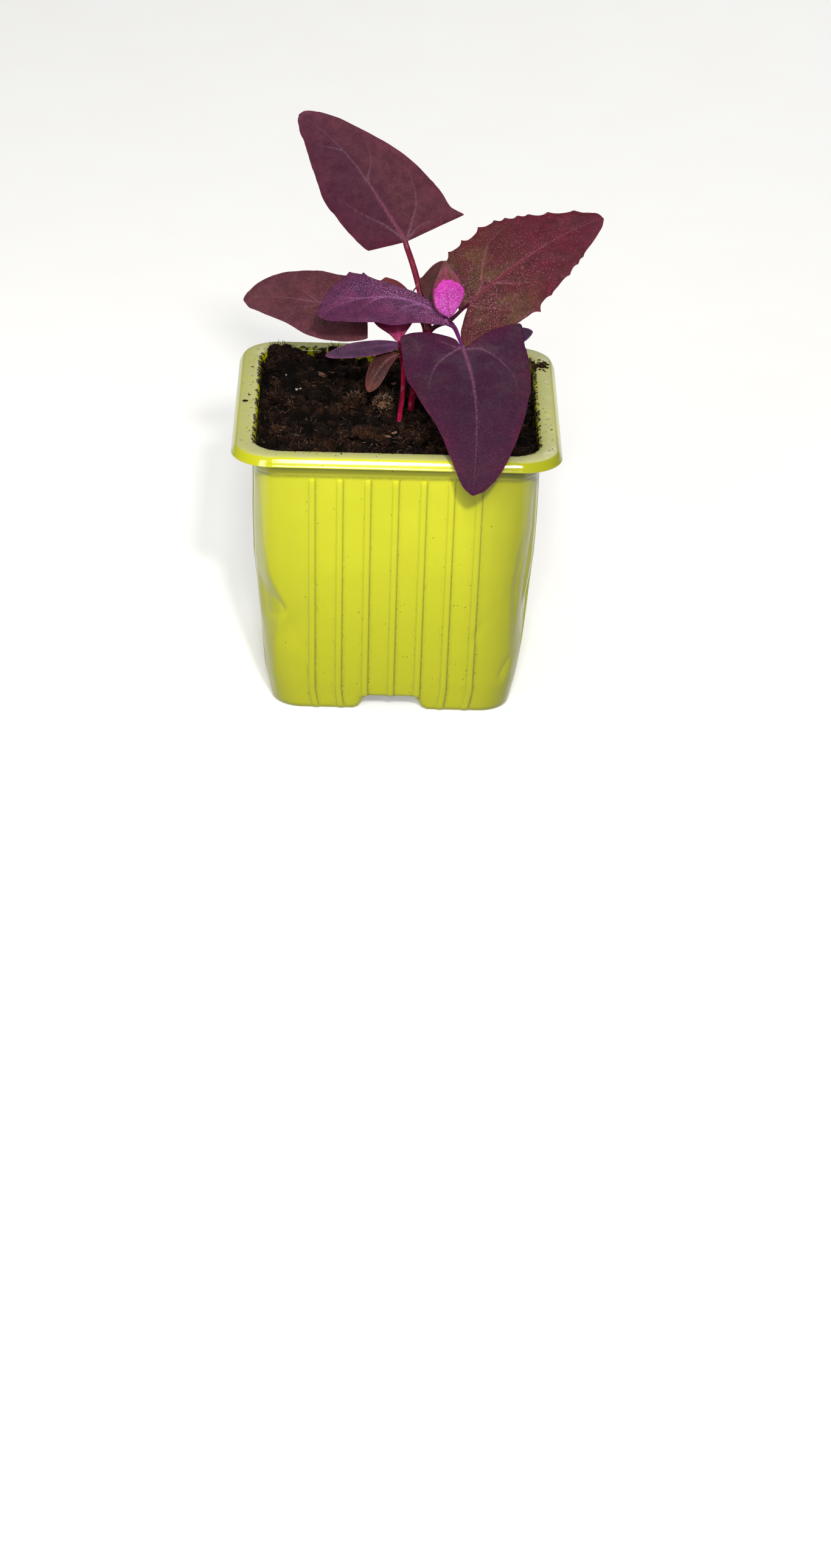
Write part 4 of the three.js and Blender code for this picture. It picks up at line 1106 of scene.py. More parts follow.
def distance_to(points, line):
    """Distance of flat points to a line through given points, and how far along it the nearest place lies"""
    line = np.asarray(line, float)
    lengths = steps_of(line)
    starts = far_along(line)
    best = np.full(len(points), np.inf)
    share = np.zeros(len(points))
    for i, length in enumerate(lengths):
        if length == 0:
            continue
        run = (line[i + 1] - line[i]) / length
        reach = np.clip((points - line[i]) @ run, 0, length)
        far = np.linalg.norm(points - line[i] - reach[:, None] * run, axis=1)
        nearer = far < best
        best = np.where(nearer, far, best)
        share = np.where(nearer, (starts[i] + reach) / starts[-1], share)
    return best, share


def curve_through(points, step=0.5):
    """Smooth flat curve through points"""
    flat = np.column_stack([np.asarray(points, float), np.zeros(len(points))])
    return smooth_path(flat, step)[:, :2]


class Blade:
    """A leaf's blade: the length of its midrib, its greatest width to one side and whether that is wide"""

    def __init__(self, leaf):
        self.leaf = leaf
        line, _ = bezier(leaf["midrib"], np.linspace(0, 1, 201))
        self.length = steps_of(line).sum()
        self.half = max(away for _, away in leaf["minus"] + leaf["plus"])
        self.wide = self.half > WIDE_HALF

    def place(self, along, away):
        """Points of the middle surface, and the way its upper side looks there"""
        t = along / self.length
        inside = np.clip(t, 0, 1)
        middle, slope = bezier(self.leaf["midrib"], inside)
        tangent = unit(slope)
        side = unit(np.cross(tangent, np.array(self.leaf["face"], float)))
        normal = unit(np.cross(side, tangent))
        middle = middle + tangent * (along - inside * self.length)[..., None]
        far = np.abs(away) / self.half
        height, count = self.leaf["wave"]
        turns = count * t + np.where(away > 0, WAVE_SHIFT, 0)
        ripple = height * far ** 2 * np.sin(2 * np.pi * turns)
        lift = self.leaf["cup"] * far ** 2 + ripple
        return middle + side * away[..., None] + normal * lift[..., None], normal


def base_shift(leaf, s):
    """How far the drawn base margin lies from a straight line between the midrib and each corner"""
    shift = np.zeros((len(s), 2))
    for side, turn in (("minus", -1), ("plus", 1)):
        drawn = leaf["base"].get(side)
        if not drawn:
            continue
        curve = curve_through(drawn, 0.25)
        here = s * turn >= 0
        share = np.abs(s[here])
        on_curve = on_line(curve, np.linspace(0, 1, len(curve)), share)
        shift[here] = (on_curve - share[:, None] * np.array(leaf[side][0])) * [1, turn]
    return shift


def vein_lines(blade):
    """Midrib and drawn veins as lines, each with its widths at the start and the end, and its strength"""
    leaf = blade.leaf
    least, more, most = VEIN_WIDTH
    lines = [(np.array([(-0.5, 0), (blade.length * 0.97, 0)]), leaf["rib"], least, 1.0)]
    for number, points in enumerate(leaf["veins"]):
        line = curve_through(points)
        strength = FAINT_STRENGTH if number in leaf["faint"] else VEIN_STRENGTH
        lines.append((line, min(most, least + more * steps_of(line).sum()), VEIN_END, strength))
    return lines


def side_veins(lines, rng):
    """Finer veins that leave the drawn ones on both sides"""
    fine = []
    for line, _, _, _ in lines[1:]:
        length = steps_of(line).sum()
        for place in np.arange(FINE_VEIN_START, length - FINE_VEIN_END, FINE_VEIN_STEP):
            k = min(len(line) - 2, int(place / length * (len(line) - 1)))
            run = unit(line[k + 1] - line[k])
            for turn in (-1, 1):
                angle = turn * rng.uniform(0.7, 1.1)
                c, s = math.cos(angle), math.sin(angle)
                way = np.array([run[0] * c - run[1] * s, run[0] * s + run[1] * c])
                bend = np.array([-way[1], way[0]]) * rng.uniform(-0.5, 0.5)
                reach = rng.uniform(2.0, 4.2)
                points = [line[k], line[k] + way * reach * 0.5 + bend, line[k] + way * reach + bend * 0.3]
                fine.append((curve_through(points, 0.8), 0.16, 0.08, 1.0))
    return fine


def vein_weights(flat, lines):
    """How much of each place belongs to a vein, and the distance to the nearest one"""
    weight = np.zeros(len(flat))
    nearest = np.full(len(flat), 99.0)
    for line, start, end, strength in lines:
        far, share = distance_to(flat, line)
        width = mix(start, end, share)
        soft = 0.6 * np.exp(-(far / width) ** 2) + 0.4 * np.exp(-(far / width / 2.3) ** 2)
        weight = np.maximum(weight, strength * soft * mix(1, 0.35, share))
        nearest = np.minimum(nearest, far)
    return weight, nearest


def blade_grid(blade, index, t, s):
    """Flat grid of a blade, as how far along and how far away from the midrib each point lies"""
    leaf = blade.leaf
    minus, plus = margin_at(leaf, "minus", t), margin_at(leaf, "plus", t)
    if blade.wide:
        rounding = leaf["corner"] * np.clip(1 - t / 0.05, 0, 1) ** 2
        uneven = ramp(0.02, 0.1, t) * ramp(1.0, 0.94, t)
        for side, seed in ((minus, 3), (plus, 7)):
            place = np.column_stack([t * blade.length, np.full((len(t), 2), 9.0 * index + seed)])
            side[:, 1] -= rounding
            side[:, 1] += uneven * (0.2 * noise(place, 3.1, seed) + 0.08 * noise(place, 1.1, seed))
    edge = np.where((s < 0)[None, :, None], minus[:, None], plus[:, None])
    tip = leaf["minus"][-1][0] + 0.15
    along = mix((t * tip)[:, None], edge[..., 0], np.abs(s)[None])
    away = s[None] * edge[..., 1]
    near_base = np.clip(1 - t / 0.22, 0, 1)[:, None] ** 2
    shift = base_shift(leaf, s)
    return np.stack([along + near_base * shift[:, 0], away + near_base * shift[:, 1]], -1)


def sheet_faces(rows, columns):
    """Faces of two grids of points, one below the other, closed round their border"""
    count = rows * columns
    loop = np.concatenate([
        np.arange(columns), np.arange(1, rows) * columns + columns - 1,
        (rows - 1) * columns + np.arange(columns - 2, -1, -1), np.arange(rows - 2, 0, -1) * columns,
    ])
    after = np.roll(loop, -1)
    border = np.stack([after, loop, loop + count, after + count], -1)
    above, below = grid_faces(rows, columns), grid_faces(rows, columns, count, flip=True)
    return np.concatenate([above, below, border]).tolist()


def make_leaf(name, leaf, index, materials):
    """Blade with a finer surface than the solid's, its stalk running on as a ridge below, and mealy cells"""
    rng = np.random.default_rng(LEAF_SEED + index)
    blade = Blade(leaf)
    step_along, step_across = WIDE_GRID if blade.wide else NARROW_GRID
    rows = int(blade.length / step_along)
    columns = 2 * int(blade.half / step_across) + 1
    t, s = np.linspace(0, 1, rows), np.linspace(-1, 1, columns)
    grid = blade_grid(blade, index, t, s)
    flat = grid.reshape(-1, 2)
    count = len(flat)
    middle, normal = blade.place(flat[:, 0], flat[:, 1])
    to_edge, _ = distance_to(flat, np.concatenate([grid[::-1, 0], grid[0, 1:-1], grid[:, -1]]))
    lines = vein_lines(blade)
    vein, nearest = vein_weights(flat, lines)
    thin = vein_weights(flat, side_veins(lines, rng))[0] if blade.wide else np.zeros(count)
    deep = np.column_stack([flat, np.full(count, 40.0 * index)])
    swell = SWELL * (1 - np.exp(-(nearest / 1.8) ** 2)) * ramp(0, 3, to_edge) * (1 if blade.wide else 0.4)
    size, height = FINE_WAVE
    fine = height * noise(deep, size, index)
    size, height = BROAD_WAVE
    swell += fine + height * noise(deep, size, index + 9) * ramp(0, 4, to_edge)
    thickness = mix(MARGIN_THICKNESS, BLADE_THICKNESS, ramp(0, 1.1, to_edge))
    top, low = (
        middle + normal * (side * thickness / 2 + swell - depth * vein - fine_depth * thin)[:, None]
        for side, depth, fine_depth in zip((1, -1), VEIN_DEPTHS, FINE_VEIN_DEPTHS)
    )
    meal = meal_share(leaf, flat) * ramp(0.1, 0.8, to_edge + 0.4)
    reach = leaf["core"] * blade.length
    core = np.exp(-(flat[:, 1] / leaf["core_width"]) ** 2)
    core = core * ramp(reach * 1.3, reach * 0.6, flat[:, 0]) * (flat[:, 0] > -1)
    hood = np.zeros(count)
    if "hood" in leaf:
        border, drop, side_border = leaf["hood"]
        side = np.tile(s, rows)
        over = np.repeat(t, columns) - border + drop * side ** 2 + 0.03 * noise(deep, 0.9, 4)
        hood = np.maximum(ramp(-0.02, 0.03, over), ramp(side_border - 0.05, side_border + 0.05, -side))
        meal = meal * (1 - 0.9 * hood)
    values = {
        "plane": deep, "along": flat[:, 0] / blade.length, "vein": np.maximum(vein, 0.3 * thin),
        "margin": np.exp(-(to_edge / 0.4) ** 1.2), "core": core, "glow": np.exp(-to_edge / 3.2), "hood": hood,
    }
    values = {key: np.concatenate([value, value]) for key, value in values.items()}
    upper = np.repeat([1.0, 0.0], count)
    mealy = np.concatenate([meal, meal * 0.4])
    body = Body()
    body.add(np.vstack([top, low]), sheet_faces(rows, columns), upper=upper, mealy=mealy, **values)
    add_stalk(body, blade, index)
    add_cells(body, rng, top.reshape(rows, columns, 3), meal.reshape(rows, columns))
    body.make(name, materials, [name], leaf["slot"])


def meal_share(leaf, flat):
    share = np.zeros(len(flat))
    for along, away, reach_along, reach_away, weight in leaf["meal"]:
        far = ((flat[:, 0] - along) / reach_along) ** 2 + ((flat[:, 1] - away) / reach_away) ** 2
        share = np.maximum(share, weight * np.exp(-far))
    return share


# Points along the midrib's ridge, where it starts and ends on the midrib, how deep a stalk's groove is, and
# the sides of a stem, a stalk and a cut side stalk
RIDGE_STEPS = 30
RIDGE_REACH = (0.02, 0.72)
RIDGE_TIP_RADIUS = 0.12
STALK_GROOVE = 0.22
STEM_SIDES = 20
STALK_SIDES = 14
STUB_SIDES = 8


def add_stalk(body, blade, index):
    """Grooved stalk; past the blade's base it tapers along the underside as the midrib's ridge"""
    leaf = blade.leaf
    line = smooth_path(leaf["petiole"], 0.5)
    start, end = leaf["radii"]
    share = np.linspace(0, 1, len(line))
    radii = mix(start, end, share) + 0.15 * start * np.exp(-(share / 0.06) ** 2)
    ridge_along = np.linspace(*RIDGE_REACH, RIDGE_STEPS) * blade.length
    ridge, normal = blade.place(ridge_along, np.zeros(RIDGE_STEPS))
    gap = min(2.4, 0.4 * np.linalg.norm(line[-1] - line[0]))
    joined = line[np.linalg.norm(line - ridge[0], axis=1) > gap]
    joined = joined[:np.argmin(np.linalg.norm(joined - ridge[0], axis=1)) + 1]
    ridge_radii = mix(end * 0.9, RIDGE_TIP_RADIUS, np.linspace(0, 1, RIDGE_STEPS) ** 0.6)
    path = np.vstack([joined, ridge - normal * (BLADE_THICKNESS / 2 + 0.9 * ridge_radii[:, None])])
    sizes = np.concatenate([radii[:len(joined)], ridge_radii])
    far = far_along(path)
    steps = np.arange(0, far[-1], 0.6)
    path, sizes = on_line(path, far, steps), np.interp(steps, far, sizes)
    points = tube_points(path, sizes, leaf["face"], STALK_SIDES, STALK_GROOVE)
    add_rod(body, points, steps, sizes, STALK_SIDES, index, slot=1)
    if "stub" in leaf:
        line = smooth_path(leaf["stub"], 0.2)
        sizes = mix(0.26, 0.14, np.linspace(0, 1, len(line)))
        points = tube_points(line, sizes, leaf["face"], STUB_SIDES)
        add_rod(body, points, np.arange(len(line)) * 0.2, sizes, STUB_SIDES, index, slot=1)


def add_rod(body, points, steps, sizes, sides, index, slot):
    """Rings of points as a closed rod with the values its skin needs"""
    angle = np.linspace(0, 2 * np.pi, sides, endpoint=False)
    run = np.repeat(steps, sides)
    ring = np.repeat(sizes, sides)
    cos, sin = np.tile(np.cos(angle), len(steps)), np.tile(np.sin(angle), len(steps))
    plane = np.column_stack([run + 31 * index, cos * ring, sin * ring])
    faces = tube_faces(len(steps), sides)
    body.add(points, faces, slot, plane=plane, upper=np.maximum(0, cos), along=0)


# Mealy cells: how many are tried on a square millimetre, their radii, and how many are how much larger
CELL_TRIES = 5
CELL_RADII = (0.035, 0.065)
BIG_CELL_SHARE = 0.04
BIG_CELL_EXTRA = 0.8
# Corners and faces of an eight-sided bead
BEAD = np.array([(1, 0, 0), (-1, 0, 0), (0, 1, 0), (0, -1, 0), (0, 0, 1), (0, 0, -1)], float)
BEAD_FACES = np.array([
    (0, 2, 4), (2, 1, 4), (1, 3, 4), (3, 0, 4), (2, 0, 5), (1, 2, 5), (3, 1, 5), (0, 3, 5),
])


def add_cells(body, rng, top, meal):
    """Mealy cells: beads on the upper side, closer together where the meal is dense"""
    rows, columns, _ = top.shape
    across = np.linalg.norm(top[:, -1] - top[:, 0], axis=1)
    tries = int(across.mean() * np.linalg.norm(top[-1] - top[0], axis=-1).mean() * CELL_TRIES)
    r = rng.integers(0, rows - 1, tries)
    c = rng.integers(0, columns - 1, tries)
    width = across[r] / across.max()
    clump = 0.5 + 0.5 * noise(top[r, c], 1.6, 5)
    keep = rng.random(tries) < np.minimum(1, meal[r, c] * width * (0.35 + 1.3 * clump)) * 0.8
    r, c = r[keep], c[keep]
    f, g = rng.random(len(r))[:, None], rng.random(len(r))[:, None]
    places = mix(mix(top[r, c], top[r, c + 1], f), mix(top[r + 1, c], top[r + 1, c + 1], f), g)
    radii = rng.uniform(*CELL_RADII, len(r)) * (1 + BIG_CELL_EXTRA * (rng.random(len(r)) < BIG_CELL_SHARE))
    beads = places[:, None] + BEAD[None] * radii[:, None, None] * rng.uniform(0.8, 1.2, (len(r), 6, 1))
    faces = (BEAD_FACES[None] + 6 * np.arange(len(r))[:, None, None]).reshape(-1, 3)
    body.add(beads.reshape(-1, 3), faces.tolist(), 2)


def make_plant():
    """The leaves with their skins, then the stems"""
    stalks = {name: stalk_material(name, *codes.split()) for name, codes in STALK_SKINS.items()}
    for index, (name, leaf) in enumerate(LEAVES.items()):
        leaf = LEAF | leaf
        look = LOOK | dict(zip(SKIN, leaf["skin"].split())) | leaf["look"]
        between = mix(np.array(srgb(look["blade"])), np.array(srgb(look["dots"])), 0.45)
        meal = granule_material(name + "_meal", look["dots"], tuple(between))
        make_leaf(name, leaf, index, [leaf_material(name, look), stalks["stalk_" + leaf["stalk"]], meal])
    for index, (name, stem) in enumerate(STEMS.items()):
        make_stem(name, stem, STEM_SEED + index, stalks["stem"])


def make_stem(name, stem, index, material):
    """Ribbed stem with swellings where leaves join it"""
    line = smooth_path(stem["path"], 0.5)
    steps = np.arange(len(line)) * 0.5
    share = np.linspace(0, 1, len(line))
    sizes = mix(*stem["radii"], share)
    for place, swell in stem["nodes"]:
        sizes = sizes + swell * np.exp(-((share - place) / 0.03) ** 2)
    sizes = sizes * (1 + 0.05 * noise(np.column_stack([steps, steps * 0, steps * 0 + index]), 3.0))
    sides = STEM_SIDES
    points = tube_points(line, sizes, (0, -1, 0.2), sides)
    middle = np.repeat(line, sides, axis=0)
    angle = np.tile(np.linspace(0, 2 * np.pi, sides, endpoint=False), len(line))
    points = middle + (points - middle) * (1 - 0.06 * np.abs(np.cos(2.5 * angle)))[:, None]
    body = Body()
    add_rod(body, points, steps, sizes, sides, index, slot=0)
    body.values["upper"] = [np.zeros(len(points))]
    body.values["along"] = [np.repeat(share * stem["dark_top"], sides)]
    body.make(name, [material], [name], "stem")


# Soil
def soil_lumps():
    """Places, radii and levels of the lumps the surface is made of"""
    rng = np.random.default_rng(LUMP_SEED)
    count = LUMP_COUNT
    x, y = rng.uniform(-40, 40, (2, count))
    radius = 0.9 + 2.3 * rng.random(count) ** 2
    level = 1.1 * noise(np.stack([x, y, np.zeros(count)], -1), 7.0, 1) + rng.uniform(-0.4, 0.4, count)
    return x, y, radius, level


LUMPS = soil_lumps()


def relief(x, y):
    """Height of the lumps over the gaps between them"""
    flat = np.stack([x, y, np.zeros(np.shape(x))], -1)
    x = np.asarray(x + 0.5 * noise(flat, 1.3, 4))[..., None]
    y = np.asarray(y + 0.5 * noise(flat, 1.3, 5))[..., None]
    lump_x, lump_y, radius, level = LUMPS
    dome = np.sqrt(np.maximum(radius ** 2 - (x - lump_x) ** 2 - (y - lump_y) ** 2, 0))
    rise = np.where(dome > 0, 0.95 * dome - 0.5 * radius + level, -2.0)
    return np.max(rise, axis=-1) + 0.3 * noise(flat, 0.8, 3)


def soil_height(x, y):
    """Heaps and lumps of the solid model with finer ones on them"""
    z = np.full(np.shape(x), SOIL_LEVEL - 0.3, float)
    for heap_x, heap_y, radius, height in SOIL_HEAPS + SOIL_BANKS:
        z = z + height * np.exp(-((x - heap_x) ** 2 + (y - heap_y) ** 2) / radius ** 2)
    for foot_x, foot_y in STEM_FEET:
        z = z - 0.8 * np.exp(-((x - foot_x) ** 2 + (y - foot_y) ** 2) / 3.2 ** 2)
    return np.minimum(z + relief(x, y), POT_HEIGHT - 0.4)


def rounded_square(half, corner, count):
    """Even points round a square with round corners"""
    angle = np.linspace(0, np.pi / 2, 12)
    arc = np.stack([np.cos(angle), np.sin(angle)], -1) * corner + (half - corner)
    ring = []
    for c, s in quarter_turns():
        ring.append(arc @ np.array([[c, s], [-s, c]]))
    ring = np.concatenate(ring + [ring[0][:1]])
    far = far_along(ring)
    return on_line(ring, far, np.linspace(0, far[-1], count, endpoint=False))


def finer(points, faces):
    """Each triangle cut in four"""
    points = points.tolist()
    halves = {}

    def half(a, b):
        key = (min(a, b), max(a, b))
        if key not in halves:
            halves[key] = len(points)
            points.append([(p + q) / 2 for p, q in zip(points[a], points[b])])
        return halves[key]

    cut = []
    for a, b, c in np.asarray(faces).tolist():
        ab, bc, ca = half(a, b), half(b, c), half(c, a)
        cut += [(a, ab, ca), (ab, b, bc), (ca, bc, c), (ab, bc, ca)]
    return np.array(points), np.array(cut)


# Balls with 8, 32 and 128 faces
BALLS = [(BEAD, BEAD_FACES)]
for _ in range(2):
    BALLS.append(finer(*BALLS[-1]))


def rough_stone(rng, size, squash, rounds):
    """Irregular crumb: a ball knocked out of shape and turned some way"""
    points, faces = BALLS[rounds]
    points = unit(points)
    seed = rng.uniform(0, 99, 3)
    points = points * (1 + 0.4 * noise(points + seed, 0.9, 3) + 0.22 * noise(points + seed, 0.35, 6))[:, None]
    turn = np.linalg.qr(rng.normal(size=(3, 3)))[0]
    turn = turn * np.sign(np.linalg.det(turn))
    return (points @ turn) * np.asarray(squash) * size, faces


FIBRE_ROWS = 3


def add_fibre(body, rng, start, way, length, radius, tone):
    """One curved hair of peat"""
    share = np.linspace(0, 1, FIBRE_ROWS)[:, None]
    bend = unit(rng.normal(size=3)) * length * rng.uniform(0, 0.35)
    line = np.asarray(start) + way * share * length + bend * share ** 2
    points = tube_points(line, radius * (1 - 0.6 * share[:, 0]), (0.1, 0.2, 1), 3)
    body.add(points, tube_faces(FIBRE_ROWS, 3), tone=tone)


def add_clod(body, fuzz, rng, x, y, size, squash, tone, fibres, lift=0.15):
    """Rough lump of peat: crumbs pressed together, with fibres standing out of it"""
    place = np.array([x, y, soil_height(x, y) + lift * size])
    squash = np.asarray(squash)
    for way in unit(rng.normal(size=(int(12 + 14 * size), 3))):
        if way[2] < -0.3:
            continue
        points, faces = rough_stone(rng, size * rng.uniform(0.2, 0.4), (1, 1, 0.8), 1)
        points = points + place + way * squash * size * rng.uniform(0.5, 0.78)
        body.add(points, faces, tone=tone + rng.uniform(-0.1, 0.12))
    points, faces = rough_stone(rng, 0.85 * size, squash, 2)
    body.add(points + place, faces, tone=0.6 * tone)
    for _ in range(fibres):
        aim = unit(rng.normal(size=3) + [0, 0, 0.5])
        way = unit(0.5 * aim + 0.7 * unit(rng.normal(size=3)))
        length, radius = rng.uniform(0.5, 1.8), rng.uniform(0.06, 0.11)
        start = place + 0.92 * aim * squash * size
        add_fibre(fuzz, rng, start, way, length, radius, tone + rng.uniform(0.05, 0.34))


# Points round the soil bed and rings of its top
BED_AROUND = 300
BED_RINGS = 80


def make_soil():
    """Closed bed with its lumpy top, then what lies on it"""
    rng = np.random.default_rng(SOIL_SEED)
    body, clods, fuzz = Body(), Body(), Body()
    around = BED_AROUND
    edge = rounded_square(SOIL_HALF, SOIL_CORNER, around)
    top = []
    for share in np.linspace(0.004, 1, BED_RINGS) ** 0.9:
        ring = edge * share
        top.append(np.column_stack([ring, soil_height(ring[:, 0], ring[:, 1])]))
    sides = []
    for z in np.concatenate([[72], np.arange(70, 5, -3.5), [4.5]]):
        half = wall_half(z) - WALL_THICKNESS - 0.4
        ring = np.column_stack([edge * half / SOIL_HALF, np.full(around, float(z))])
        sides.append(dented(ring))
    floor = rounded_square(wall_half(1) - WALL_THICKNESS - 0.3 - NOTCH_DEPTH, 4, around)
    sides.append(np.column_stack([floor, np.full(around, WALL_THICKNESS + 0.3)]))
    rings = np.array(top + sides)
    flat = rings.reshape(-1, 3)
    # The bed's tone follows its relief: painted shade in the hollows, where the peat is also wetter, and
    # painted light on the lumps' tops
    rise = relief(flat[:, 0], flat[:, 1])
    tone = 0.02 + 0.3 * ramp(-0.6, 1.6, rise) + 0.1 * noise(flat, 1.4, 7)
    faces = grid_faces(len(rings), around, wrap=True).tolist()
    last = (len(rings) - 1) * around
    faces += [list(range(around - 1, -1, -1)), list(range(last, last + around))]
    body.add(flat, faces, tone=tone)
    add_crumbs(body, rng)
    add_clods(clods, fuzz, rng)
    add_edge_crumbs(clods, rng)
    add_fibres(fuzz, rng)
    add_bits(fuzz, rng)
    peat = soil_material()
    body.make("soil_bed", [peat], ["soil"], "soil")
    clods.make("soil_clods", [peat], (), "soil")
    fuzz.make("soil_fibres", [peat], (), "soil")


def in_pot(x, y, inset):
    """Whether places lie that far inside the soil's round-cornered square"""
    straight = SOIL_HALF - inset - SOIL_CORNER
    dx = np.maximum(np.abs(x) - straight, 0)
    dy = np.maximum(np.abs(y) - straight, 0)
    return np.hypot(dx, dy) < SOIL_CORNER


def clear_of_stems(x, y, gap):
    return all(np.hypot(x - a, y - b) > gap for a, b in STEM_FEET)


def add_crumbs(body, rng):
    """Loose crumbs, many small and a few larger, most of them dark"""
    placed = 0
    while placed < CRUMB_COUNT:
        x, y = rng.uniform(-SOIL_HALF, SOIL_HALF, 2)
        size = 0.25 + 0.9 * rng.random() ** 3
        if not in_pot(x, y, 0.4 + size) or not clear_of_stems(x, y, 1.4 + size):
            continue
        squash = (rng.uniform(0.8, 1.4), rng.uniform(0.7, 1.1), rng.uniform(0.5, 0.95))
        points, faces = rough_stone(rng, size, squash, 2 if size > 0.6 else 1)
        tone = 0.1 + 0.34 * rng.random() ** 2
        body.add(points + [x, y, soil_height(x, y) + 0.3 * size], faces, tone=tone)
        placed += 1


def add_edge_crumbs(body, rng):
    """Crumbs that stick to the inside of the rim"""
    edge = rounded_square(COLLAR_HALF - WALL_THICKNESS + 0.1, SOIL_CORNER, 400)
    for place in rng.integers(0, len(edge), EDGE_CRUMB_COUNT):
        x, y = edge[place] * (1 + rng.uniform(-0.022, 0.006))
        z = rng.uniform(75.4, 79.3)
        if noise(np.array([x, y, 0]), 5.0, 9) < rng.uniform(-0.4, 0.6):
            continue
        points, faces = rough_stone(rng, 0.16 + 0.5 * rng.random() ** 2, (1.1, 1.1, 0.9), 1)
        body.add(points + [x, y, z], faces, tone=rng.uniform(0.05, 0.26))


def add_clods(body, fuzz, rng):
    """The clods that stand out, then smaller ones scattered between them"""
    for clod in CLODS:
        add_clod(body, fuzz, rng, *clod)
    placed = [(x, y) for x, y, *_ in CLODS]
    while len(placed) < CLOD_COUNT:
        x, y = rng.uniform(-SOIL_HALF, SOIL_HALF, 2)
        size = rng.uniform(1.1, 2.4)
        near = min(math.hypot(x - a, y - b) for a, b in placed)
        if near < 3.6 or not in_pot(x, y, 1 + size) or not clear_of_stems(x, y, 2.5 + size):
            continue
        squash = (rng.uniform(0.8, 1.3), rng.uniform(0.8, 1.1), rng.uniform(0.5, 0.75))
        add_clod(body, fuzz, rng, x, y, size, squash, rng.uniform(0.16, 0.36), int(20 * size), 0.3)
        placed.append((x, y))


# Tones of the short fibres and how common each is, and tones of the long roots
FIBRE_TONES = [0.25, 0.42, 0.56, 0.72]
FIBRE_SHARES = [0.22, 0.34, 0.32, 0.12]
ROOT_TONES = [0.4, 0.55, 0.72]
ROOT_STEPS = 9


def add_fibres(body, rng):
    """Short peat hairs all over the soil, and a few long roots that lie on it"""
    x, y = rng.uniform(-SOIL_HALF, SOIL_HALF, (2, FIBRE_COUNT))
    kept = in_pot(x, y, 1.2) & (relief(x, y) > rng.uniform(-0.4, 1.4, FIBRE_COUNT))
    for (foot_x, foot_y), gap in zip(STEM_FEET, STEM_GAPS):
        kept &= np.hypot(x - foot_x, y - foot_y) > gap
    x, y = x[kept], y[kept]
    for start in np.column_stack([x, y, soil_height(x, y) + 0.1]):
        way = unit(rng.normal(size=3) * [1, 1, 0.6] + [0, 0, 0.25])
        length, radius = rng.uniform(0.6, 2.2), rng.uniform(0.055, 0.11)
        tone = rng.choice(FIBRE_TONES, p=FIBRE_SHARES)
        add_fibre(body, rng, start, way, length, radius, tone)
    for _ in range(ROOT_COUNT):
        x, y = rng.uniform(-0.7 * SOIL_HALF, 0.7 * SOIL_HALF, 2)
        heading = rng.uniform(0, 2 * math.pi)
        share = np.linspace(0, 1, ROOT_STEPS)
        angle = heading + rng.uniform(-1.6, 1.6) * share + 0.5 * np.sin(share * 9 + heading)
        steps = np.stack([np.cos(angle), np.sin(angle)], -1) * rng.uniform(3, 7) / (ROOT_STEPS - 1)
        line = np.array([x, y]) + np.cumsum(steps, axis=0)
        z = soil_height(line[:, 0], line[:, 1])
        z = np.convolve(np.pad(z, 1, "edge"), np.ones(3) / 3, "valid") + 0.5
        radii = rng.uniform(0.05, 0.11) * (1 - 0.6 * share)
        points = tube_points(np.column_stack([line, z]), radii, (0, 0, 1), 4)
        body.add(points, tube_faces(ROOT_STEPS, 4), tone=rng.choice(ROOT_TONES))


# Clods of peat that stand out: place, size, squash, tone, number of fibres and, on the banks, lift
CLODS = [
    (-35, 35.2, 2.3, (1, 1, 0.9), 0.26, 60), (-32, 36.6, 1.9, (1, 1, 0.9), 0.24, 50),
    (-29, 33.6, 2.2, (1, 1, 0.8), 0.22, 50), (-36.2, 30.5, 2.0, (1, 1, 0.8), 0.24, 40),
    (-22, 36.9, 2.0, (1, 1, 1), 0.26, 60, 1.6), (-17.9, 36.8, 2.3, (0.9, 0.9, 1.2), 0.24, 60, 0.7),
    (-13.5, 34, 1.8, (1, 1, 0.8), 0.2, 40), (-4, 6.6, 2.7, (1.05, 0.95, 0.85), 0.56, 150),
    (-11.5, 9.4, 2.7, (1, 0.95, 0.8), 0.48, 130), (-8.4, -14.1, 4.6, (1.1, 0.5, 0.38), 0.36, 70),
    (-32.4, -14.6, 2.4, (1.1, 1, 0.75), 0.34, 90), (-27.6, -20.4, 2.6, (1.2, 1, 0.75), 0.3, 90),
    (-22.8, -26.8, 2.6, (1.3, 0.8, 0.6), 0.32, 60), (6.4, -16.5, 2.4, (1.2, 0.8, 0.7), 0.34, 80),
    (-33, 8, 2.4, (1, 1, 0.7), 0.24, 50), (-24, 6, 2.6, (1, 1, 0.6), 0.2, 50),
    (10, -24.5, 2.0, (1, 1, 0.7), 0.3, 60), (33, -12, 2.2, (1, 1, 0.8), 0.26, 50),
    (32, 6, 2.6, (1, 1, 0.8), 0.24, 50), (30, 20, 2.4, (1, 1, 0.8), 0.24, 50),
]
# Bark bits: place, half sizes, turn and tone
SOIL_BITS = [
    (-21.6, 24, 2.5, 0.9, 0.35, -0.95, 0.64), (-26.9, -28.9, 1.6, 0.6, 0.5, 0.4, 0.56),
    (-0.7, -11.4, 0.9, 0.5, 0.3, 0.8, 0.72), (-2.4, -16, 1.2, 0.5, 0.3, -0.3, 0.7),
    (-0.8, 24.7, 0.9, 0.5, 0.4, 0.2, 0.66), (10, -18, 1.3, 0.8, 0.5, 0.6, 0.4),
    (27, -15, 1.5, 0.9, 0.6, 1.4, 0.42), (14, 29, 2.2, 1.2, 0.7, -0.4, 0.45),
]
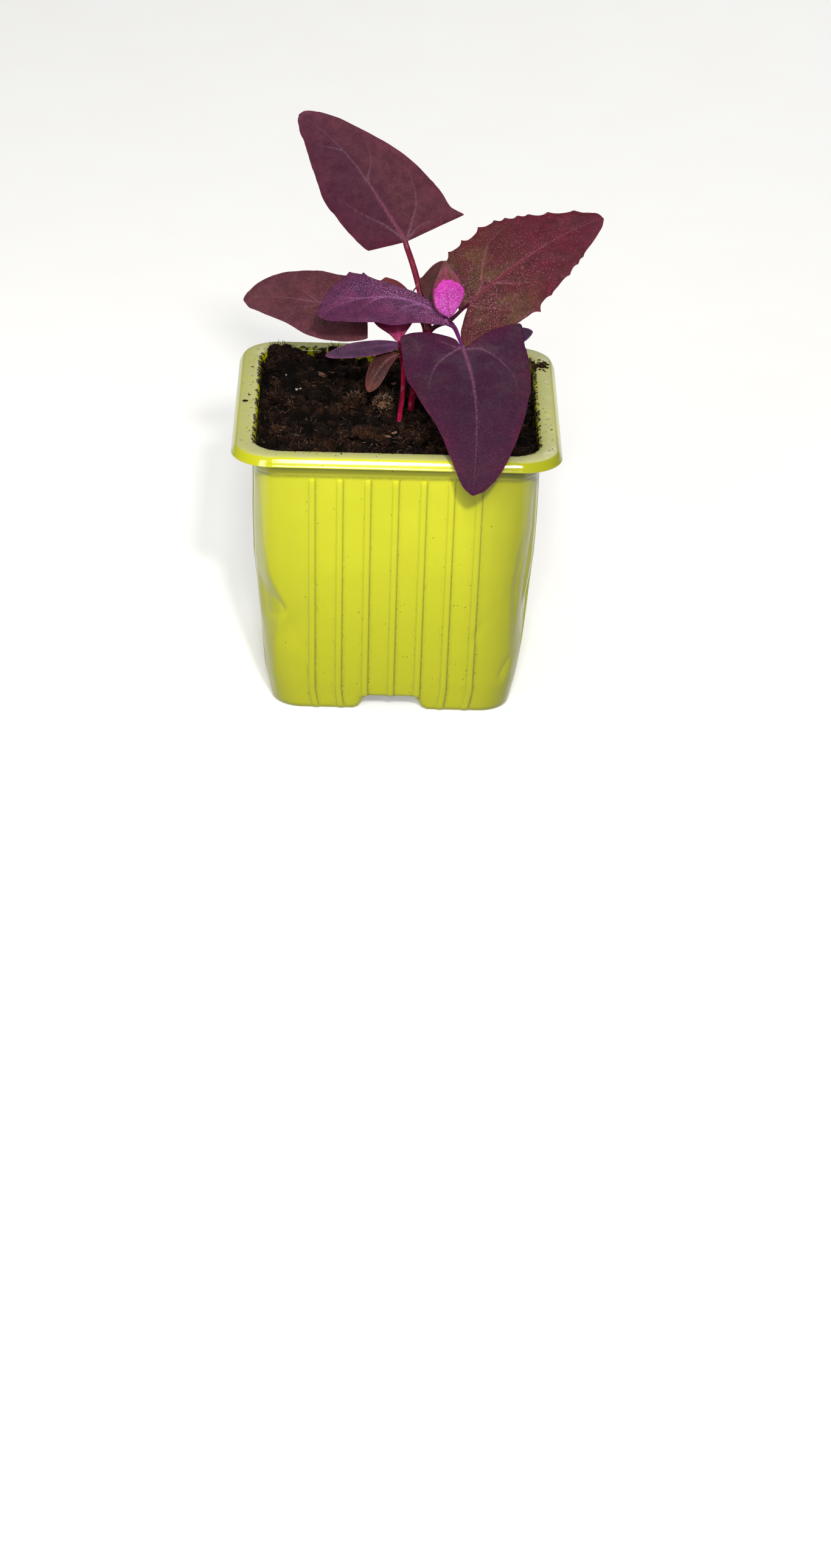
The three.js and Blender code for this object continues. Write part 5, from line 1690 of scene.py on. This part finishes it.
# White perlite: place and size
PERLITE = [
    (-28.3, 16.2, 0.45), (-27.2, 15.8, 0.3), (-31.5, 23.6, 0.25), (5.6, -16.4, 0.3), (21, 20, 0.4),
    (30, -28, 0.3),
]


def add_bits(body, rng):
    """Bark chips and white perlite"""
    for x, y, a, b, c, turn, tone in SOIL_BITS:
        points, faces = rough_stone(rng, 1.0, (a, b, c), 2)
        cos, sin = math.cos(turn), math.sin(turn)
        points = points @ np.array([[cos, sin, 0], [-sin, cos, 0], [0, 0, 1]])
        body.add(points + [x, y, soil_height(x, y) + 0.9], faces, tone=tone)
    for x, y, size in PERLITE:
        points, faces = rough_stone(rng, size, (1, 0.9, 0.8), 2)
        body.add(points + [x, y, soil_height(x, y) + 0.6], faces, tone=0.95)


# Soil spilled on the rim: place and size of single bits, then the place and reach of the heap on the right
SPILLED = [
    (-42.2, -4.3, 1), (-41.2, 0.4, 0.5), (-27, 38.8, 0.8), (-23.5, 39.4, 0.6), (41.1, 28, 0.9),
    (42, 24, 0.5), (40.6, 33, 0.6), (-41, 22, 0.5), (-12, 42, 0.5), (8, 41.5, 0.6), (30, -41.3, 0.45),
    (-15, -41.2, 0.4), (42.4, -20, 0.4),
]
SPILL_PLACE = (40.4, 28.2)
SPILL_REACH = (1.1, 1.3)


def make_spill():
    """Crumbs and grit on the rim's flat top"""
    rng = np.random.default_rng(SPILL_SEED)
    body = Body()
    bits = [(x, y, size * 0.5) for x, y, size in SPILLED]
    while len(bits) < GRIT_COUNT:
        x, y = rng.uniform(-RIM_HALF + 2.5, RIM_HALF - 2.5, 2)
        if max(abs(x), abs(y)) > COLLAR_HALF + 0.4 and math.hypot(x, y) < 55:
            bits.append((x, y, rng.uniform(0.05, 0.15)))
    for x, y in rng.normal(SPILL_PLACE, SPILL_REACH, (SPILL_COUNT, 2)):
        if x < 43:
            bits.append((x, y, rng.uniform(0.2, 0.5)))
    for x, y, size in bits:
        points, faces = rough_stone(rng, size, (1.5, 1, 0.7), 1)
        tone = rng.uniform(0.15, 0.5)
        body.add(points + [x, y, POT_HEIGHT - 0.02 + 0.3 * size], faces, tone=tone)
    body.make("spilled_soil", [soil_material()], (), "soil")


make_pot()
make_soil()
make_spill()
make_plant()


# Camera and light
def make_camera():
    yaw, pitch, roll = (math.radians(a) for a in (CAMERA_YAW, CAMERA_PITCH, CAMERA_ROLL))
    forward = Vector((math.sin(yaw) * math.cos(pitch), math.cos(yaw) * math.cos(pitch), -math.sin(pitch)))
    level = Vector((math.cos(yaw), -math.sin(yaw), 0))
    above = level.cross(forward)
    right = level * math.cos(roll) + above * math.sin(roll)
    up = above * math.cos(roll) - level * math.sin(roll)
    data = bpy.data.cameras.new("camera")
    data.sensor_fit = "AUTO"
    data.sensor_width = SENSOR
    data.lens = FOCAL_PIXELS / IMAGE_HEIGHT * SENSOR
    data.clip_start = 0.05
    camera = new_object("camera", data)
    turn = Matrix((right, up, -forward)).transposed()
    camera.matrix_world = Matrix.Translation(Vector(CAMERA_PLACE) * MM) @ turn.to_4x4()
    bpy.context.scene.camera = camera


def area_light(name, place, size, power, colour, stretch):
    data = bpy.data.lights.new(name, "AREA")
    data.shape = "RECTANGLE"
    data.size = size
    data.size_y = size * stretch
    data.energy = power
    data.color = colour
    lamp = new_object(name, data)
    lamp.location = place
    lamp.rotation_mode = "QUATERNION"
    lamp.rotation_quaternion = (Vector(LIGHT_TARGET) - Vector(place)).to_track_quat("-Z", "Y")


def make_studio():
    """Pale floor, even white surroundings, a key light above the camera and a tall soft one at the left"""
    mesh = bpy.data.meshes.new("floor")
    reach = FLOOR_REACH
    corners = [(-reach, -reach, 0), (reach, -reach, 0), (reach, reach, 0), (-reach, reach, 0)]
    mesh.from_pydata(corners, [], [(0, 1, 2, 3)])
    floor = new_object("floor", mesh)
    s = Shader("floor")
    tone = s.mix(s.noise(s.place(), 40.0, 2.0), "f6f5f2", "f9f9f7")
    mesh.materials.append(s.finish(tone, 0.9, 0.1, glow=FLOOR_GLOW))
    floor.visible_diffuse = False
    world = bpy.data.worlds.new("studio")
    world.use_nodes = True
    back = world.node_tree.nodes["Background"]
    back.inputs["Color"].default_value = (1, 1, 1, 1)
    back.inputs["Strength"].default_value = WORLD_LIGHT
    bpy.context.scene.world = world
    for name, light in LIGHTS.items():
        area_light(name, *light)
    view = bpy.context.scene.view_settings
    view.view_transform = "Standard"
    view.look = "None"


make_camera()
make_studio()
